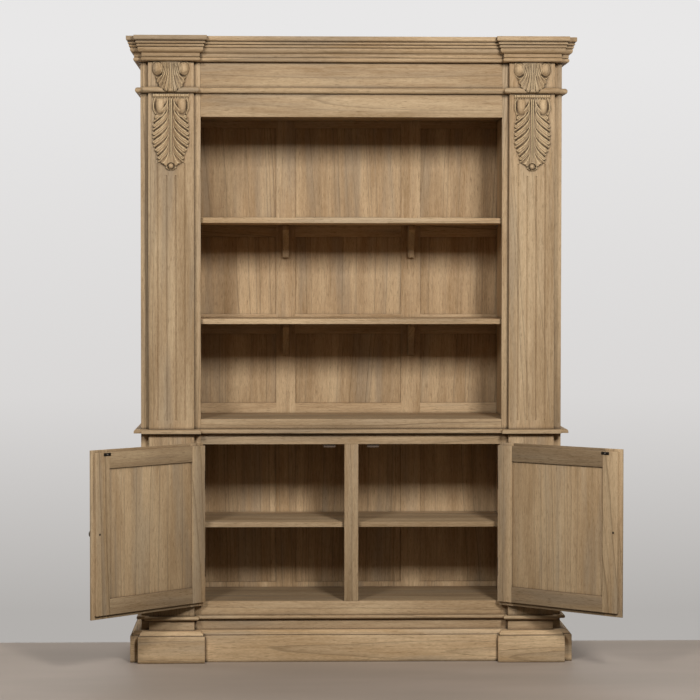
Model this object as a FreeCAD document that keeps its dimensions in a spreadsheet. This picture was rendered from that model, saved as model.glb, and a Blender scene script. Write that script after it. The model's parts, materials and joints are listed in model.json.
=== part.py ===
import FreeCAD, Part
import math
import os
import re
import Sketcher

from FreeCAD import Placement, Rotation, Vector

# A breakfront bookcase on a two-door cupboard, in limed hardwood, with its doors standing open.
# Millimetres. X runs to the right, -Y faces the room, +Z is up. The origin is on the floor, in the
# middle of the carcass. The doors are drawn closed and then turned open about their hinge pins.

# Driving dimensions: name and value

SIZES = (
    # Carcass
    ("body_depth", 450),
    ("frame_thick", 25),
    ("side_thick", 20),
    ("lining_thick", 18),
    ("lining_reveal", 20),
    ("opening_width", 1160),
    ("side_stile_width", 230),
    ("board_thick", 20),
    ("middle_stile_width", 54),
    ("divider_thick", 20),
    # Heights, from the floor up
    ("plinth_height", 105),
    ("shoulder_height", 9),
    ("slope_height", 7),
    ("neck_height", 41),
    ("base_bead_height", 14),
    ("bottom_rail_height", 53),
    ("cupboard_opening_height", 608),
    ("cupboard_rail_height", 44),
    ("waist_height", 15),
    ("bookcase_sill_height", 38),
    ("bookcase_opening_height", 1162),
    ("bookcase_rail_height", 89),
    ("frieze_bead_height", 22),
    ("frieze_height", 98),
    ("cornice_height", 95),
    ("ceiling_rise", 14),
    ("top_recess", 8),
    # Projections of the mouldings
    ("plinth_projection", 41),
    ("plinth_ledge", 4),
    ("shoulder_projection", 31),
    ("ledge_projection", 24),
    ("base_bead_projection", 18),
    ("waist_projection", 27),
    ("waist_nose_radius", 9),
    ("frieze_bead_projection", 20),
    ("cornice_projection", 52),
    # Base
    ("plinth_board_thick", 25),
    ("bearer_thick", 30),
    ("bearer_height", 60),
    # Pilasters
    ("pilaster_width", 174),
    ("pilaster_proud", 34),
    ("pilaster_margin", 31),
    ("groove_pitch", 34.6),
    ("groove_width", 8),
    ("groove_depth", 3.5),
    ("groove_foot", 36),
    ("outer_groove_length", 984),
    ("inner_groove_length", 938),
    ("cupboard_groove_margin", 90),
    # Back
    ("back_thick", 18),
    ("panel_thick", 7),
    ("panel_recess", 6),
    ("muntin_width", 78),
    ("muntin_place", 252),
    ("back_stile_overlap", 6),
    ("cross_rail_height", 79),
    ("cross_rail_above", 12),
    ("back_rail_height", 60),
    ("back_sill_show", 40),
    # Shelves
    ("shelf_setback", 5),
    ("upper_shelf_height", 776),
    ("lower_shelf_height", 386),
    ("cupboard_shelf_height", 304),
    ("bracket_width", 25),
    ("bracket_height", 130),
    ("bracket_depth", 90),
    ("bracket_lip", 20),
    ("bracket_toe", 24),
    ("bracket_curve", 150),
    ("pin_radius", 2.5),
    ("pin_buried", 9),
    ("pin_proud", 10),
    ("pin_inset", 60),
    ("pin_hole_clearance", 0.1),
    # Doors
    ("door_gap", 2.5),
    ("hinge_gap", 2),
    ("door_inset", 12),
    ("lip_thick", 8),
    ("lip_gap", 0.5),
    ("lip_width", 14),
    ("lip_top_width", 10),
    ("door_stile_width", 66),
    ("door_rail_width", 60),
    ("door_panel_thick", 8),
    ("door_panel_recess", 6),
    ("door_bead_width", 13),
    ("door_bead_stand", 2),
    ("left_door_open", 135),
    ("right_door_open", 138.5),
    # Hinges
    ("hinge_height", 72),
    ("hinge_place", 136),
    ("leaf_thick", 2),
    ("leaf_reach", 24),
    ("leaf_gap", 0.4),
    ("knuckle_radius", 4),
    ("knuckle_forward", 3.5),
    ("knuckle_clearance", 0.4),
    ("knuckle_gap", 0.3),
    ("hinge_pin_radius", 1.75),
    ("hinge_pin_clearance", 0.06),
    # Knobs, strikes and catches
    ("knob_radius", 16.5),
    ("knob_reach", 19),
    ("knob_stem_radius", 5.5),
    ("knob_base_radius", 9),
    ("knob_base_thick", 3),
    ("knob_edge", 32),
    ("screw_head_radius", 4.5),
    ("screw_head_height", 0.8),
    ("strike_width", 34),
    ("strike_height", 11),
    ("strike_thick", 1.5),
    ("strike_drop", 2),
    ("catch_place", 57),
    ("catch_width", 46),
    ("catch_depth", 15),
    ("catch_height", 13),
    ("catch_gap", 0.4),
    ("pole_width", 3),
    ("pole_stand", 1.5),
    ("pole_spacing", 12),
    # Carved leaves
    ("carving_width", 146),
    ("small_carving_length", 120),
    ("small_carving_relief", 22),
    ("large_carving_length", 292),
    ("large_carving_relief", 12),
    ("large_carving_drop", 4),
    ("carving_band_height", 13),
    ("carving_rib_width", 15),
    ("carving_rib_proud", 5),
    ("eye_width", 34),
    ("eye_height", 48),
    ("eye_proud", 5),
    ("pearl_radius", 13),
    # Cuts run past a face by this much
    ("overrun", 5),
)

# Dimensions that follow from the driving ones

DERIVED = (
    ("half_opening", "opening_width / 2"),
    ("half_body", "half_opening + side_stile_width"),
    ("half_lining", "half_opening + lining_reveal"),
    ("half_inside", "half_body - side_thick"),
    ("half_stile", "middle_stile_width / 2"),
    ("front", "-body_depth / 2"),
    ("back", "body_depth / 2"),
    ("frame_back", "front + frame_thick"),
    ("back_face", "back - back_thick"),
    ("panel_face", "back_face + panel_recess"),
    ("pilaster_outer", "half_body - pilaster_margin"),
    ("pilaster_inner", "pilaster_outer - pilaster_width"),
    ("pilaster_middle", "pilaster_outer - pilaster_width / 2"),
    ("pilaster_face", "front - pilaster_proud"),
    ("shoulder_top", "plinth_height + shoulder_height"),
    ("neck_foot", "shoulder_top + slope_height"),
    ("neck_top", "neck_foot + neck_height"),
    ("cupboard_foot", "neck_top + base_bead_height"),
    ("cupboard_floor_top", "cupboard_foot + bottom_rail_height"),
    ("cupboard_opening_top", "cupboard_floor_top + cupboard_opening_height"),
    ("waist_low", "cupboard_opening_top + cupboard_rail_height"),
    ("waist_top", "waist_low + waist_height"),
    ("bookcase_floor_top", "waist_top + bookcase_sill_height"),
    ("bookcase_opening_top", "bookcase_floor_top + bookcase_opening_height"),
    ("ceiling_low", "bookcase_opening_top + ceiling_rise"),
    ("bead_low", "bookcase_opening_top + bookcase_rail_height"),
    ("frieze_low", "bead_low + frieze_bead_height"),
    ("cornice_low", "frieze_low + frieze_height"),
    ("full_height", "cornice_low + cornice_height"),
    ("upper_shelf_top", "bookcase_floor_top + upper_shelf_height"),
    ("lower_shelf_top", "bookcase_floor_top + lower_shelf_height"),
    ("cupboard_shelf_top", "cupboard_floor_top + cupboard_shelf_height"),
    ("shelf_front", "frame_back + shelf_setback"),
    ("door_back", "front + door_inset - lip_gap"),
    ("door_middle", "front - lip_gap"),
    ("door_face", "door_middle - lip_thick"),
    ("hinge_edge", "half_opening - hinge_gap"),
    ("hinge_x", "half_opening - hinge_gap / 2"),
    ("hinge_y", "door_face - knuckle_forward"),
    ("leaf_back", "hinge_y + leaf_reach"),
    ("mortise", "leaf_thick + leaf_gap / 2 - hinge_gap / 2"),
    ("door_low", "cupboard_floor_top + door_gap"),
    ("door_high", "cupboard_opening_top - door_gap"),
    ("door_width", "hinge_edge - half_stile - door_gap"),
    ("knob_z", "(door_low + door_high) / 2"),
    ("knob_distance", "door_width + lip_width - knob_edge"),
    ("knob_neck", "knob_reach - sqrt(knob_radius ^ 2 - knob_stem_radius ^ 2)"),
    ("knob_crown", "knob_reach + knob_radius"),
    ("strike_high", "door_high - strike_drop"),
    ("strike_low", "strike_high - strike_height"),
    ("strike_distance", "hinge_edge - half_stile - catch_place"),
    ("upper_hinge_z", "cupboard_opening_top - hinge_place"),
    ("lower_hinge_z", "cupboard_floor_top + hinge_place"),
)

doc = FreeCAD.newDocument("Bookcase")
sheet = doc.addObject("Spreadsheet::Sheet", "Sizes")
parts = []


def fill_sheet():
    """Writes the driving dimensions as numbers and the others as formulas on them."""
    row = 0
    for name, content in SIZES + DERIVED:
        row += 1
        sheet.set(f"A{row}", name)
        sheet.set(f"B{row}", f"={content}" if isinstance(content, str) else str(content))
        sheet.setAlias(f"B{row}", name)
        doc.recompute()


fill_sheet()


class Values:
    """Every cell of the sheet by its alias, as a number."""

    def __getattr__(self, name):
        return float(sheet.get(name))


v = Values()
ALIAS = re.compile(r"\b(" + "|".join(name for name, _ in SIZES + DERIVED) + r")\b")


def on_sheet(formula):
    """A formula in aliases, as an expression that other objects can hold."""
    return ALIAS.sub(r"Sizes.\1", formula)


def bind(thing, **formulas):
    """Ties properties to formulas; a double underline in a name stands for a dot."""
    for name, formula in formulas.items():
        thing.setExpression(name.replace("__", "."), on_sheet(formula))


def bind_base(thing, x, y, z):
    bind(thing, Placement__Base__x=x, Placement__Base__y=y, Placement__Base__z=z)
    return thing


def keep(thing, label):
    """Marks a finished sub-part, which is exported under its label."""
    thing.Label = label
    parts.append(thing)
    return thing


def box(x0, x1, y0, y1, z0, z1):
    """A board between two corners, each side a formula on the sheet."""
    board = doc.addObject("Part::Box", "Board")
    bind(board, Length=f"({x1}) - ({x0})", Width=f"({y1}) - ({y0})", Height=f"({z1}) - ({z0})")
    return bind_base(board, x0, y0, z0)


def rod(radius, length, x, y, z, axis=Vector(0, 0, 1)):
    cylinder = doc.addObject("Part::Cylinder", "Rod")
    cylinder.Placement = Placement(Vector(), Rotation(Vector(0, 0, 1), axis))
    bind(cylinder, Radius=radius, Height=length)
    return bind_base(cylinder, x, y, z)


def group(things):
    compound = doc.addObject("Part::Compound", "Group")
    compound.Links = things
    return compound


def cut(base, tools):
    result = doc.addObject("Part::Cut", "Cut")
    result.Base = base
    result.Tool = group(tools)
    return result


def sorted_pair(side, inner, outer):
    """The two X values of a board on the left (side -1) or the right (side 1)."""
    if side < 0:
        return (f"-({outer})", f"-({inner})")
    return (inner, outer)


def pair(inner, outer, y0, y1, z0, z1):
    """The same board on the left and on the right."""
    return [box(*sorted_pair(side, inner, outer), y0, y1, z0, z1) for side in (-1, 1)]


def feature(label, shape):
    thing = doc.addObject("Part::Feature", "Shaped")
    thing.Shape = shape
    return keep(thing, label)


# Sketches for the bodies


def sketch_on(body, role, offset="0"):
    """A sketch on one of the body's own origin planes."""
    plane = [f for f in body.Origin.OriginFeatures if f.Role == role][0]
    sketch = body.newObject("Sketcher::SketchObject", "Sketch")
    sketch.AttachmentSupport = (plane, [""])
    sketch.MapMode = "FlatFace"
    sketch.setExpression(".AttachmentOffset.Base.z", on_sheet(offset))
    return sketch


def constrain(sketch, *constraint, formula=None):
    index = sketch.addConstraint(Sketcher.Constraint(*constraint))
    if formula is not None:
        sketch.setExpression(f"Constraints[{index}]", on_sheet(formula))


def add_polygon(sketch, corners):
    """A closed outline of straight lines, every corner tied to two formulas."""
    first = sketch.GeometryCount
    count = len(corners)
    ring = [Vector(math.cos(a), math.sin(a), 0) for a in (2 * math.pi * i / count for i in range(count))]
    for start, end in zip(ring, ring[1:] + ring[:1]):
        sketch.addGeometry(Part.LineSegment(start, end))
    for i, (x, y) in enumerate(corners):
        constrain(sketch, "Coincident", first + i, 2, first + (i + 1) % count, 1)
        constrain(sketch, "DistanceX", -1, 1, first + i, 1, 0.0, formula=x)
        constrain(sketch, "DistanceY", -1, 1, first + i, 1, 0.0, formula=y)


def amount(alias):
    """The number for zero, an alias or minus an alias."""
    if alias == "0":
        return 0.0
    if alias.startswith("-"):
        return -getattr(v, alias[1:])
    return getattr(v, alias)


def add_outline(sketch, corners, arc_edge, arc_middle, arc_radius):
    """A closed outline whose corners are aliases, with one edge bent into an arc."""
    points = [Vector(amount(x), amount(y), 0) for x, y in corners]
    ends = []
    for i, start in enumerate(points):
        end = points[(i + 1) % len(points)]
        if i == arc_edge:
            sketch.addGeometry(Part.Arc(start, arc_middle, end))
            clockwise = (arc_middle - start).cross(end - arc_middle).z < 0
            ends.append((2, 1) if clockwise else (1, 2))
        else:
            sketch.addGeometry(Part.LineSegment(start, end))
            ends.append((1, 2))
    for i, (x, y) in enumerate(corners):
        after = (i + 1) % len(corners)
        constrain(sketch, "Coincident", i, ends[i][1], after, ends[after][0])
        constrain(sketch, "DistanceX", -1, 1, i, ends[i][0], amount(x), formula=x)
        constrain(sketch, "DistanceY", -1, 1, i, ends[i][0], amount(y), formula=y)
    constrain(sketch, "Radius", arc_edge, amount(arc_radius), formula=arc_radius)


def new_body(name):
    return doc.addObject("PartDesign::Body", name)


def padded(body, sketch, length):
    pad = body.newObject("PartDesign::Pad", "Pad")
    pad.Profile = sketch
    bind(pad, Length=length)
    return pad


# Mouldings: a profile of points (projection, height) run round the breakfront outline


def breakfront():
    """The outline of the carcass in plan, from the back left corner round to the back right."""
    left = [
        (-v.half_body, v.back),
        (-v.half_body, v.front),
        (-v.pilaster_outer, v.front),
        (-v.pilaster_outer, v.pilaster_face),
        (-v.pilaster_inner, v.pilaster_face),
        (-v.pilaster_inner, v.front),
    ]
    return left + [(-x, y) for x, y in reversed(left)]


SIDE_LEFT = (0, 0)
BLOCK_LEFT = (1, 4)
CENTRE = (5, 5)
BLOCK_RIGHT = (6, 9)
SIDE_RIGHT = (10, 10)
ALL_ROUND = (0, 10)


def outward(start, end):
    length = math.hypot(end[0] - start[0], end[1] - start[1])
    return ((end[1] - start[1]) / length, -(end[0] - start[0]) / length)


def mitre(normal, neighbour):
    """The way a corner moves out of the outline, per millimetre of projection."""
    if neighbour is None:
        return normal
    scale = 1 + normal[0] * neighbour[0] + normal[1] * neighbour[1]
    return ((normal[0] + neighbour[0]) / scale, (normal[1] + neighbour[1]) / scale)


def profile_face(profile):
    """A face in the XZ plane; a point with True after it is the middle of an arc."""
    points = [Vector(point[0], 0, point[1]) for point in profile + profile[:1]]
    bent = [len(point) == 3 for point in profile + profile[:1]]
    edges = []
    i = 0
    while i < len(points) - 1:
        if bent[i + 1]:
            edges.append(Part.Arc(points[i], points[i + 1], points[i + 2]).toShape())
            i += 2
        else:
            edges.append(Part.LineSegment(points[i], points[i + 1]).toShape())
            i += 1
    return Part.Face(Part.Wire(edges))


def mitred_run(profile, outline, index):
    """One length of moulding on one side of the outline, cut on the mitre lines at both ends."""
    start, end = outline[index], outline[index + 1]
    normal = outward(start, end)
    low = min(point[1] for point in profile)
    high = max(point[1] for point in profile)
    reach = max(point[0] for point in profile) + v.overrun
    length = math.hypot(end[0] - start[0], end[1] - start[1])
    before = outward(outline[index - 1], start) if index > 0 else None
    after = outward(end, outline[index + 2]) if index + 2 < len(outline) else None
    at_start, at_end = mitre(normal, before), mitre(normal, after)
    corners = [
        start,
        end,
        (end[0] + at_end[0] * reach, end[1] + at_end[1] * reach),
        (start[0] + at_start[0] * reach, start[1] + at_start[1] * reach),
    ]
    plan = Part.Face(Part.makePolygon([Vector(x, y, low) for x, y in corners + corners[:1]]))
    wedge = plan.extrude(Vector(0, 0, high - low))
    bar = profile_face(profile).extrude(Vector(0, length + 2 * reach, 0))
    bar.translate(Vector(0, -reach, 0))
    # The profile is drawn with its projection along X and its run along Y
    along = Vector((end[0] - start[0]) / length, (end[1] - start[1]) / length, 0)
    turn = Rotation(Vector(normal[0], normal[1], 0), along, Vector(0, 0, 1), "ZXY")
    bar.Placement = Placement(Vector(start[0], start[1], 0), turn).multiply(bar.Placement)
    return bar.common(wedge)


def wrap(profile, first, last):
    """The lengths from first to last of a moulding, glued into one piece."""
    outline = breakfront()
    lengths = [mitred_run(profile, outline, index) for index in range(first, last + 1)]
    if len(lengths) == 1:
        return lengths[0].Solids[0]
    return lengths[0].multiFuse(lengths[1:]).removeSplitter().Solids[0]


def runs(label, profile, *spans):
    """Pieces of moulding under one name."""
    feature(label, Part.makeCompound([wrap(profile, *span) for span in spans]))


def edged_board(label, profile):
    """A board over the whole plan with a worked edge on the sides and the front."""
    low = min(point[1] for point in profile)
    high = max(point[1] for point in profile)
    corners = [Vector(x, y, low) for x, y in breakfront()]
    plate = Part.Face(Part.makePolygon(corners + corners[:1])).extrude(Vector(0, 0, high - low))
    feature(label, plate.fuse(wrap(profile, *ALL_ROUND)).removeSplitter().Solids[0])


def half_round(low, height, projection):
    """A bead: flat at the top and bottom, round at its nose."""
    radius = height / 2
    return (
        (0, low),
        (projection - radius, low),
        (projection, low + radius, True),
        (projection - radius, low + height),
        (0, low + height),
    )


# Base


def base():
    inner_front = "front + plinth_board_thick"
    inner_back = "back - plinth_board_thick"
    boards = [
        box("-half_body", "half_body", "front", inner_front, "0", "neck_top"),
        box("-half_body", "half_body", inner_back, "back", "0", "neck_top"),
    ]
    edge = "half_body - plinth_board_thick"
    boards += pair(edge, "half_body", inner_front, inner_back, "0", "neck_top")
    boards += pair("pilaster_inner", "pilaster_outer", "pilaster_face", "front", "0", "neck_top")
    keep(group(boards), "base_boards")
    bearers = []
    for x in ("-pilaster_inner", "0", "pilaster_inner"):
        sides = (f"{x} - bearer_thick / 2", f"{x} + bearer_thick / 2")
        bearers.append(box(*sides, inner_front, inner_back, "0", "bearer_height"))
    keep(group(bearers), "base_bearers")


def plinth():
    """A board with a rounded top edge, then a quirk, a round shoulder and a slope up to the neck."""
    round_share, nose_share = 0.3, 0.3
    ledge = v.plinth_ledge
    edge = v.plinth_projection - ledge
    rounding = (v.plinth_projection - ledge * round_share, v.plinth_height - ledge * round_share, True)
    nose_foot = edge - ledge / 2
    nose = (
        nose_foot - (nose_foot - v.shoulder_projection) * nose_share,
        v.shoulder_top - v.shoulder_height * nose_share,
        True,
    )
    profile = (
        (0, 0),
        (v.plinth_projection, 0),
        (v.plinth_projection, v.plinth_height - ledge),
        rounding,
        (edge, v.plinth_height),
        (edge - ledge / 4, v.plinth_height - ledge / 2),
        (nose_foot, v.plinth_height),
        nose,
        (v.shoulder_projection, v.shoulder_top),
        (v.ledge_projection, v.neck_foot),
        (0, v.neck_foot),
    )
    runs("plinth_front", profile, CENTRE)
    runs("plinth_blocks", profile, BLOCK_LEFT, BLOCK_RIGHT)
    runs("plinth_sides", profile, SIDE_LEFT, SIDE_RIGHT)


def base_board():
    edged_board("base_board", half_round(v.neck_top, v.base_bead_height, v.base_bead_projection))


# Cupboard


def cupboard_frame():
    y = ("front", "frame_back")
    inside = ("-half_opening", "half_opening")
    keep(box(*inside, *y, "cupboard_opening_top", "waist_low"), "cupboard_top_rail")
    keep(box(*inside, *y, "cupboard_foot", "cupboard_floor_top"), "cupboard_bottom_rail")
    middle = box("-half_stile", "half_stile", *y, "cupboard_floor_top", "cupboard_opening_top")
    keep(middle, "cupboard_middle_stile")
    stiles = []
    for side in (-1, 1):
        board = box(*sorted_pair(side, "half_opening", "half_body"), *y, "cupboard_foot", "waist_low")
        seat = sorted_pair(side, "half_opening", "half_opening + mortise")
        seats = [box(*seat, "front", "leaf_back", *hinge_span(z)) for z in HINGE_PLACES]
        stiles.append(cut(board, seats))
    keep(group(stiles), "cupboard_stiles")


def cupboard_carcass():
    depth = ("frame_back", "back_face")
    walls = pair("half_inside", "half_body", "frame_back", "back", "cupboard_foot", "waist_low")
    keep(group(walls), "cupboard_outer_sides")
    floor_z = ("cupboard_floor_top - board_thick", "cupboard_floor_top")
    keep(box("-half_inside", "half_inside", *depth, *floor_z), "cupboard_floor")
    tops = ("cupboard_shelf_top",)
    keep(group(linings("cupboard_floor_top", "waist_low", tops)), "cupboard_linings")
    half = "divider_thick / 2"
    board = box(f"-{half}", half, *depth, "cupboard_floor_top", "waist_low")
    holes = shelf_pins(f"-{half}", -1, tops, True) + shelf_pins(half, 1, tops, True)
    keep(cut(board, holes), "cupboard_divider")
    shelf_z = ("cupboard_shelf_top - board_thick", "cupboard_shelf_top")
    shelves = pair(half, "half_lining", "shelf_front", "back_face", *shelf_z)
    keep(group(shelves), "cupboard_shelves")


def waist_board():
    radius = v.waist_nose_radius
    bend = radius * (1 - math.sqrt(0.5))
    profile = (
        (0, v.waist_low),
        (v.waist_projection, v.waist_low),
        (v.waist_projection, v.waist_top - radius),
        (v.waist_projection - bend, v.waist_top - bend, True),
        (v.waist_projection - radius, v.waist_top),
        (0, v.waist_top),
    )
    edged_board("waist_board", profile)


# Shelf pins, and the linings that they stand in

PIN_DEPTHS = ("shelf_front + pin_inset", "back_face - pin_inset")


def shelf_pins(x, inward, tops, as_holes):
    """The pins under the shelf ends at a board's face at x, or the holes that they sit in."""
    rods = []
    for top in tops:
        z = f"{top} - board_thick - pin_radius"
        for y in PIN_DEPTHS:
            if as_holes:
                size = ("pin_radius + pin_hole_clearance", "pin_buried + overrun")
                rods.append(rod(*size, f"{x} + {inward} * overrun", y, z, Vector(-inward, 0, 0)))
            else:
                size = ("pin_radius", "pin_buried + pin_proud")
                rods.append(rod(*size, f"{x} - {inward} * pin_buried", y, z, Vector(inward, 0, 0)))
    return rods


def linings(low, high, tops):
    """The inner sides of a bay, drilled for the shelf pins."""
    boards = []
    for side in (-1, 1):
        x = sorted_pair(side, "half_lining", "half_lining + lining_thick")
        board = box(*x, "frame_back", "back_face", low, high)
        boards.append(cut(board, shelf_pins(f"{side} * half_lining", -side, tops, True)))
    return boards


def all_shelf_pins():
    tops = ("upper_shelf_top", "lower_shelf_top", "cupboard_shelf_top")
    rods = []
    for side in (-1, 1):
        rods += shelf_pins(f"{side} * half_lining", -side, tops, False)
        rods += shelf_pins(f"{side} * divider_thick / 2", side, tops[2:], False)
    keep(group(rods), "shelf_pins")


# Bookcase


def bookcase_frame():
    y = ("front", "frame_back")
    inside = ("-half_opening", "half_opening")
    joint = "bead_low + frieze_bead_height / 2"
    keep(box(*inside, *y, "waist_top", "bookcase_floor_top"), "bookcase_sill_rail")
    keep(box(*inside, *y, "bookcase_opening_top", joint), "bookcase_top_rail")
    keep(box(*inside, *y, joint, "full_height"), "frieze_board")
    stiles = pair("half_opening", "half_body", *y, "waist_top", "full_height")
    keep(group(stiles), "bookcase_stiles")


def bookcase_carcass():
    depth = ("frame_back", "back_face")
    inside = ("-half_inside", "half_inside")
    walls = pair("half_inside", "half_body", "frame_back", "back", "waist_top", "full_height")
    keep(group(walls), "bookcase_outer_sides")
    floor_z = ("bookcase_floor_top - board_thick", "bookcase_floor_top")
    keep(box(*inside, *depth, *floor_z), "bookcase_floor")
    ceiling = box(*inside, *depth, "ceiling_low", "ceiling_low + board_thick")
    lid_top = "full_height - top_recess"
    lid = box(*inside, *depth, f"{lid_top} - board_thick", lid_top)
    keep(group([ceiling, lid]), "bookcase_top_boards")
    tops = ("upper_shelf_top", "lower_shelf_top")
    keep(group(linings("bookcase_floor_top", "ceiling_low", tops)), "bookcase_linings")
    span = ("-half_lining", "half_lining", "shelf_front", "back_face")
    keep(group([box(*span, f"{top} - board_thick", top) for top in tops]), "bookcase_shelves")


def shelf_bracket(side, shelf_top):
    """A small corbel on a muntin: drawn from its side with a hollow front, padded to its width."""
    body = new_body("Bracket")
    sketch = sketch_on(body, "YZ_Plane")
    corners = (
        ("0", "0"),
        ("-bracket_depth", "0"),
        ("-bracket_depth", "-bracket_lip"),
        ("-bracket_toe", "-bracket_height"),
        ("0", "-bracket_height"),
    )
    chord_y = -(v.bracket_depth + v.bracket_toe) / 2
    chord_z = -(v.bracket_lip + v.bracket_height) / 2
    hollow = Vector(chord_y + v.bracket_lip / 2, chord_z + v.bracket_lip / 2, 0)
    add_outline(sketch, corners, 2, hollow, "bracket_curve")
    padded(body, sketch, "bracket_width").Midplane = True
    return bind_base(body, f"{side} * muntin_place", "back_face", f"{shelf_top} - board_thick")


def shelf_brackets():
    tops = ("upper_shelf_top", "lower_shelf_top")
    bodies = [shelf_bracket(side, top) for top in tops for side in (-1, 1)]
    keep(group(bodies), "shelf_brackets")


# Framed backs


def back_columns():
    """The three clear widths between stiles and muntins, as formulas."""
    edge = "half_lining + back_stile_overlap"
    inner = "(muntin_place - muntin_width / 2)"
    outer = "(muntin_place + muntin_width / 2)"
    return ((f"-({edge})", f"-{outer}"), (f"-{inner}", inner), (outer, edge))


def framed_back(name, low, high, rails):
    """Stiles, muntins and rails with thinner panels. Rails are (low, high) from the bottom up."""
    y = ("back_face", "back")
    frame = pair("half_lining + back_stile_overlap", "half_inside", *y, low, high)
    muntin = ("muntin_place - muntin_width / 2", "muntin_place + muntin_width / 2")
    frame += pair(*muntin, *y, low, high)
    frame += [box(*x, *y, *rail) for x in back_columns() for rail in rails]
    keep(group(frame), f"{name}_back_frame")
    panels = []
    for x in back_columns():
        for below, above in zip(rails, rails[1:]):
            panels.append(box(*x, "panel_face", "panel_face + panel_thick", below[1], above[0]))
    keep(group(panels), f"{name}_back_panels")


def backs():
    bottom = ("cupboard_foot", "cupboard_floor_top + back_sill_show / 2")
    framed_back("cupboard", "cupboard_foot", "waist_low", [bottom, ("waist_low - back_rail_height", "waist_low")])
    rails = [("waist_top", "bookcase_floor_top + back_sill_show")]
    for shelf in ("lower_shelf_top", "upper_shelf_top"):
        top = f"{shelf} + cross_rail_above"
        rails.append((f"{top} - cross_rail_height", top))
    rails.append(("ceiling_low - back_rail_height / 2", "full_height"))
    framed_back("bookcase", "waist_top", "full_height", rails)


# Pilasters


def fluting(body, low, steps, length):
    """V grooves in a pilaster's face, upwards from a height, at steps of half a pitch."""
    sketch = sketch_on(body, "XY_Plane", low)
    for step in steps:
        x = f"{step} * groove_pitch / 2"
        add_polygon(sketch, (
            (f"{x} - groove_width / 2", "pilaster_face - overrun"),
            (f"{x} + groove_width / 2", "pilaster_face - overrun"),
            (f"{x} + groove_width / 2", "pilaster_face"),
            (x, "pilaster_face + groove_depth"),
            (f"{x} - groove_width / 2", "pilaster_face"),
        ))
    pocket = body.newObject("PartDesign::Pocket", "Grooves")
    pocket.Profile = sketch
    pocket.Reversed = True
    bind(pocket, Length=length)


def pilaster(side, low, high, groove_low, outer_length, inner_length):
    """A board proud of the frame with four stopped grooves, the two outer ones longer."""
    body = new_body("Pilaster")
    board = sketch_on(body, "XY_Plane", low)
    add_polygon(board, (
        ("-pilaster_width / 2", "pilaster_face"),
        ("pilaster_width / 2", "pilaster_face"),
        ("pilaster_width / 2", "front"),
        ("-pilaster_width / 2", "front"),
    ))
    padded(body, board, f"({high}) - ({low})")
    fluting(body, groove_low, (-3, 3), outer_length)
    fluting(body, groove_low, (-1, 1), inner_length)
    bind(body, Placement__Base__x=f"{side} * pilaster_middle")
    return body


def pilasters():
    upper = ("waist_top", "full_height", "waist_top + groove_foot")
    bodies = [pilaster(side, *upper, "outer_groove_length", "inner_groove_length") for side in (-1, 1)]
    keep(group(bodies), "pilasters")
    low = "cupboard_foot + cupboard_groove_margin"
    length = "waist_low - cupboard_foot - 2 * cupboard_groove_margin"
    bodies = [pilaster(side, "cupboard_foot", "waist_low", low, length, length) for side in (-1, 1)]
    keep(group(bodies), "cupboard_pilasters")


def groove_volume(lengths):
    """What four grooves take out of a pilaster, two of each length."""
    return v.groove_width * v.groove_depth / 2 * 2 * sum(lengths)


def check_fluting():
    """A pocket that points away from the board would cut nothing, so the volumes are compared."""
    tall = v.full_height - v.waist_top
    short = v.waist_low - v.cupboard_foot
    run = short - 2 * v.cupboard_groove_margin
    expected = {
        "pilasters": (tall, (v.outer_groove_length, v.inner_groove_length)),
        "cupboard_pilasters": (short, (run, run)),
    }
    for thing in parts:
        if thing.Label in expected:
            height, lengths = expected[thing.Label]
            solid = v.pilaster_width * v.pilaster_proud * height - groove_volume(lengths)
            if abs(thing.Shape.Volume / (2 * solid) - 1) > 1e-6:
                raise RuntimeError(f"the grooves of {thing.Label} were not cut")


# Carved leaves

# Half widths as shares of half the carving's width, against shares of its length from the top
large_leaf_shares = (
    (0.99, 0.0), (0.99, 0.05), (0.86, 0.06), (0.9, 0.2), (0.82, 0.27), (0.96, 0.34), (0.9, 0.38),
    (0.97, 0.44), (0.9, 0.48), (0.97, 0.54), (0.9, 0.58), (0.96, 0.65), (0.86, 0.69), (0.86, 0.75),
    (0.7, 0.78), (0.72, 0.84), (0.62, 0.86), (0.66, 0.93), (0.5, 0.97), (0.2, 0.96),
)
small_leaf_shares = (
    (0.98, 0.0), (0.98, 0.42), (0.8, 0.48), (0.78, 0.64), (0.62, 0.7), (0.6, 0.84), (0.44, 0.88),
    (0.34, 0.96), (0.16, 1.0),
)


def oval(x, y, z, width, height, thick):
    """A short block of oval section, standing forwards from a plane at y."""
    centre = Vector(x, y, z)
    ellipse = Part.Ellipse(centre + Vector(0, 0, height / 2), centre + Vector(width / 2, 0, 0), centre)
    return Part.Face(Part.Wire(ellipse.toShape())).extrude(Vector(0, -thick, 0))


def carved_leaf(side, top, length, relief, shares, eye_share):
    """An acanthus leaf: a toothed outline, two eyes near its shoulders and a middle rib."""
    middle, face = side * v.pilaster_middle, v.pilaster_face
    half = v.carving_width / 2
    right = [(middle + half * across, top - length * down) for across, down in shares]
    left = [(2 * middle - x, z) for x, z in reversed(right)]
    points = [Vector(x, face, z) for x, z in right + left]
    plate = Part.Face(Part.makePolygon(points + points[:1])).extrude(Vector(0, -relief, 0))
    eye_z = top - length * eye_share
    pieces = []
    for sign in (-1, 1):
        x = middle + sign * (half - v.eye_width * 0.8)
        pieces.append(oval(x, face, eye_z, v.eye_width, v.eye_height, relief + v.eye_proud))
    rib = relief + v.carving_rib_proud
    corner = Vector(middle - v.carving_rib_width / 2, face - rib, top - length * 0.95)
    pieces.append(Part.makeBox(v.carving_rib_width, rib, length * 0.95, corner))
    return plate, pieces


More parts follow.
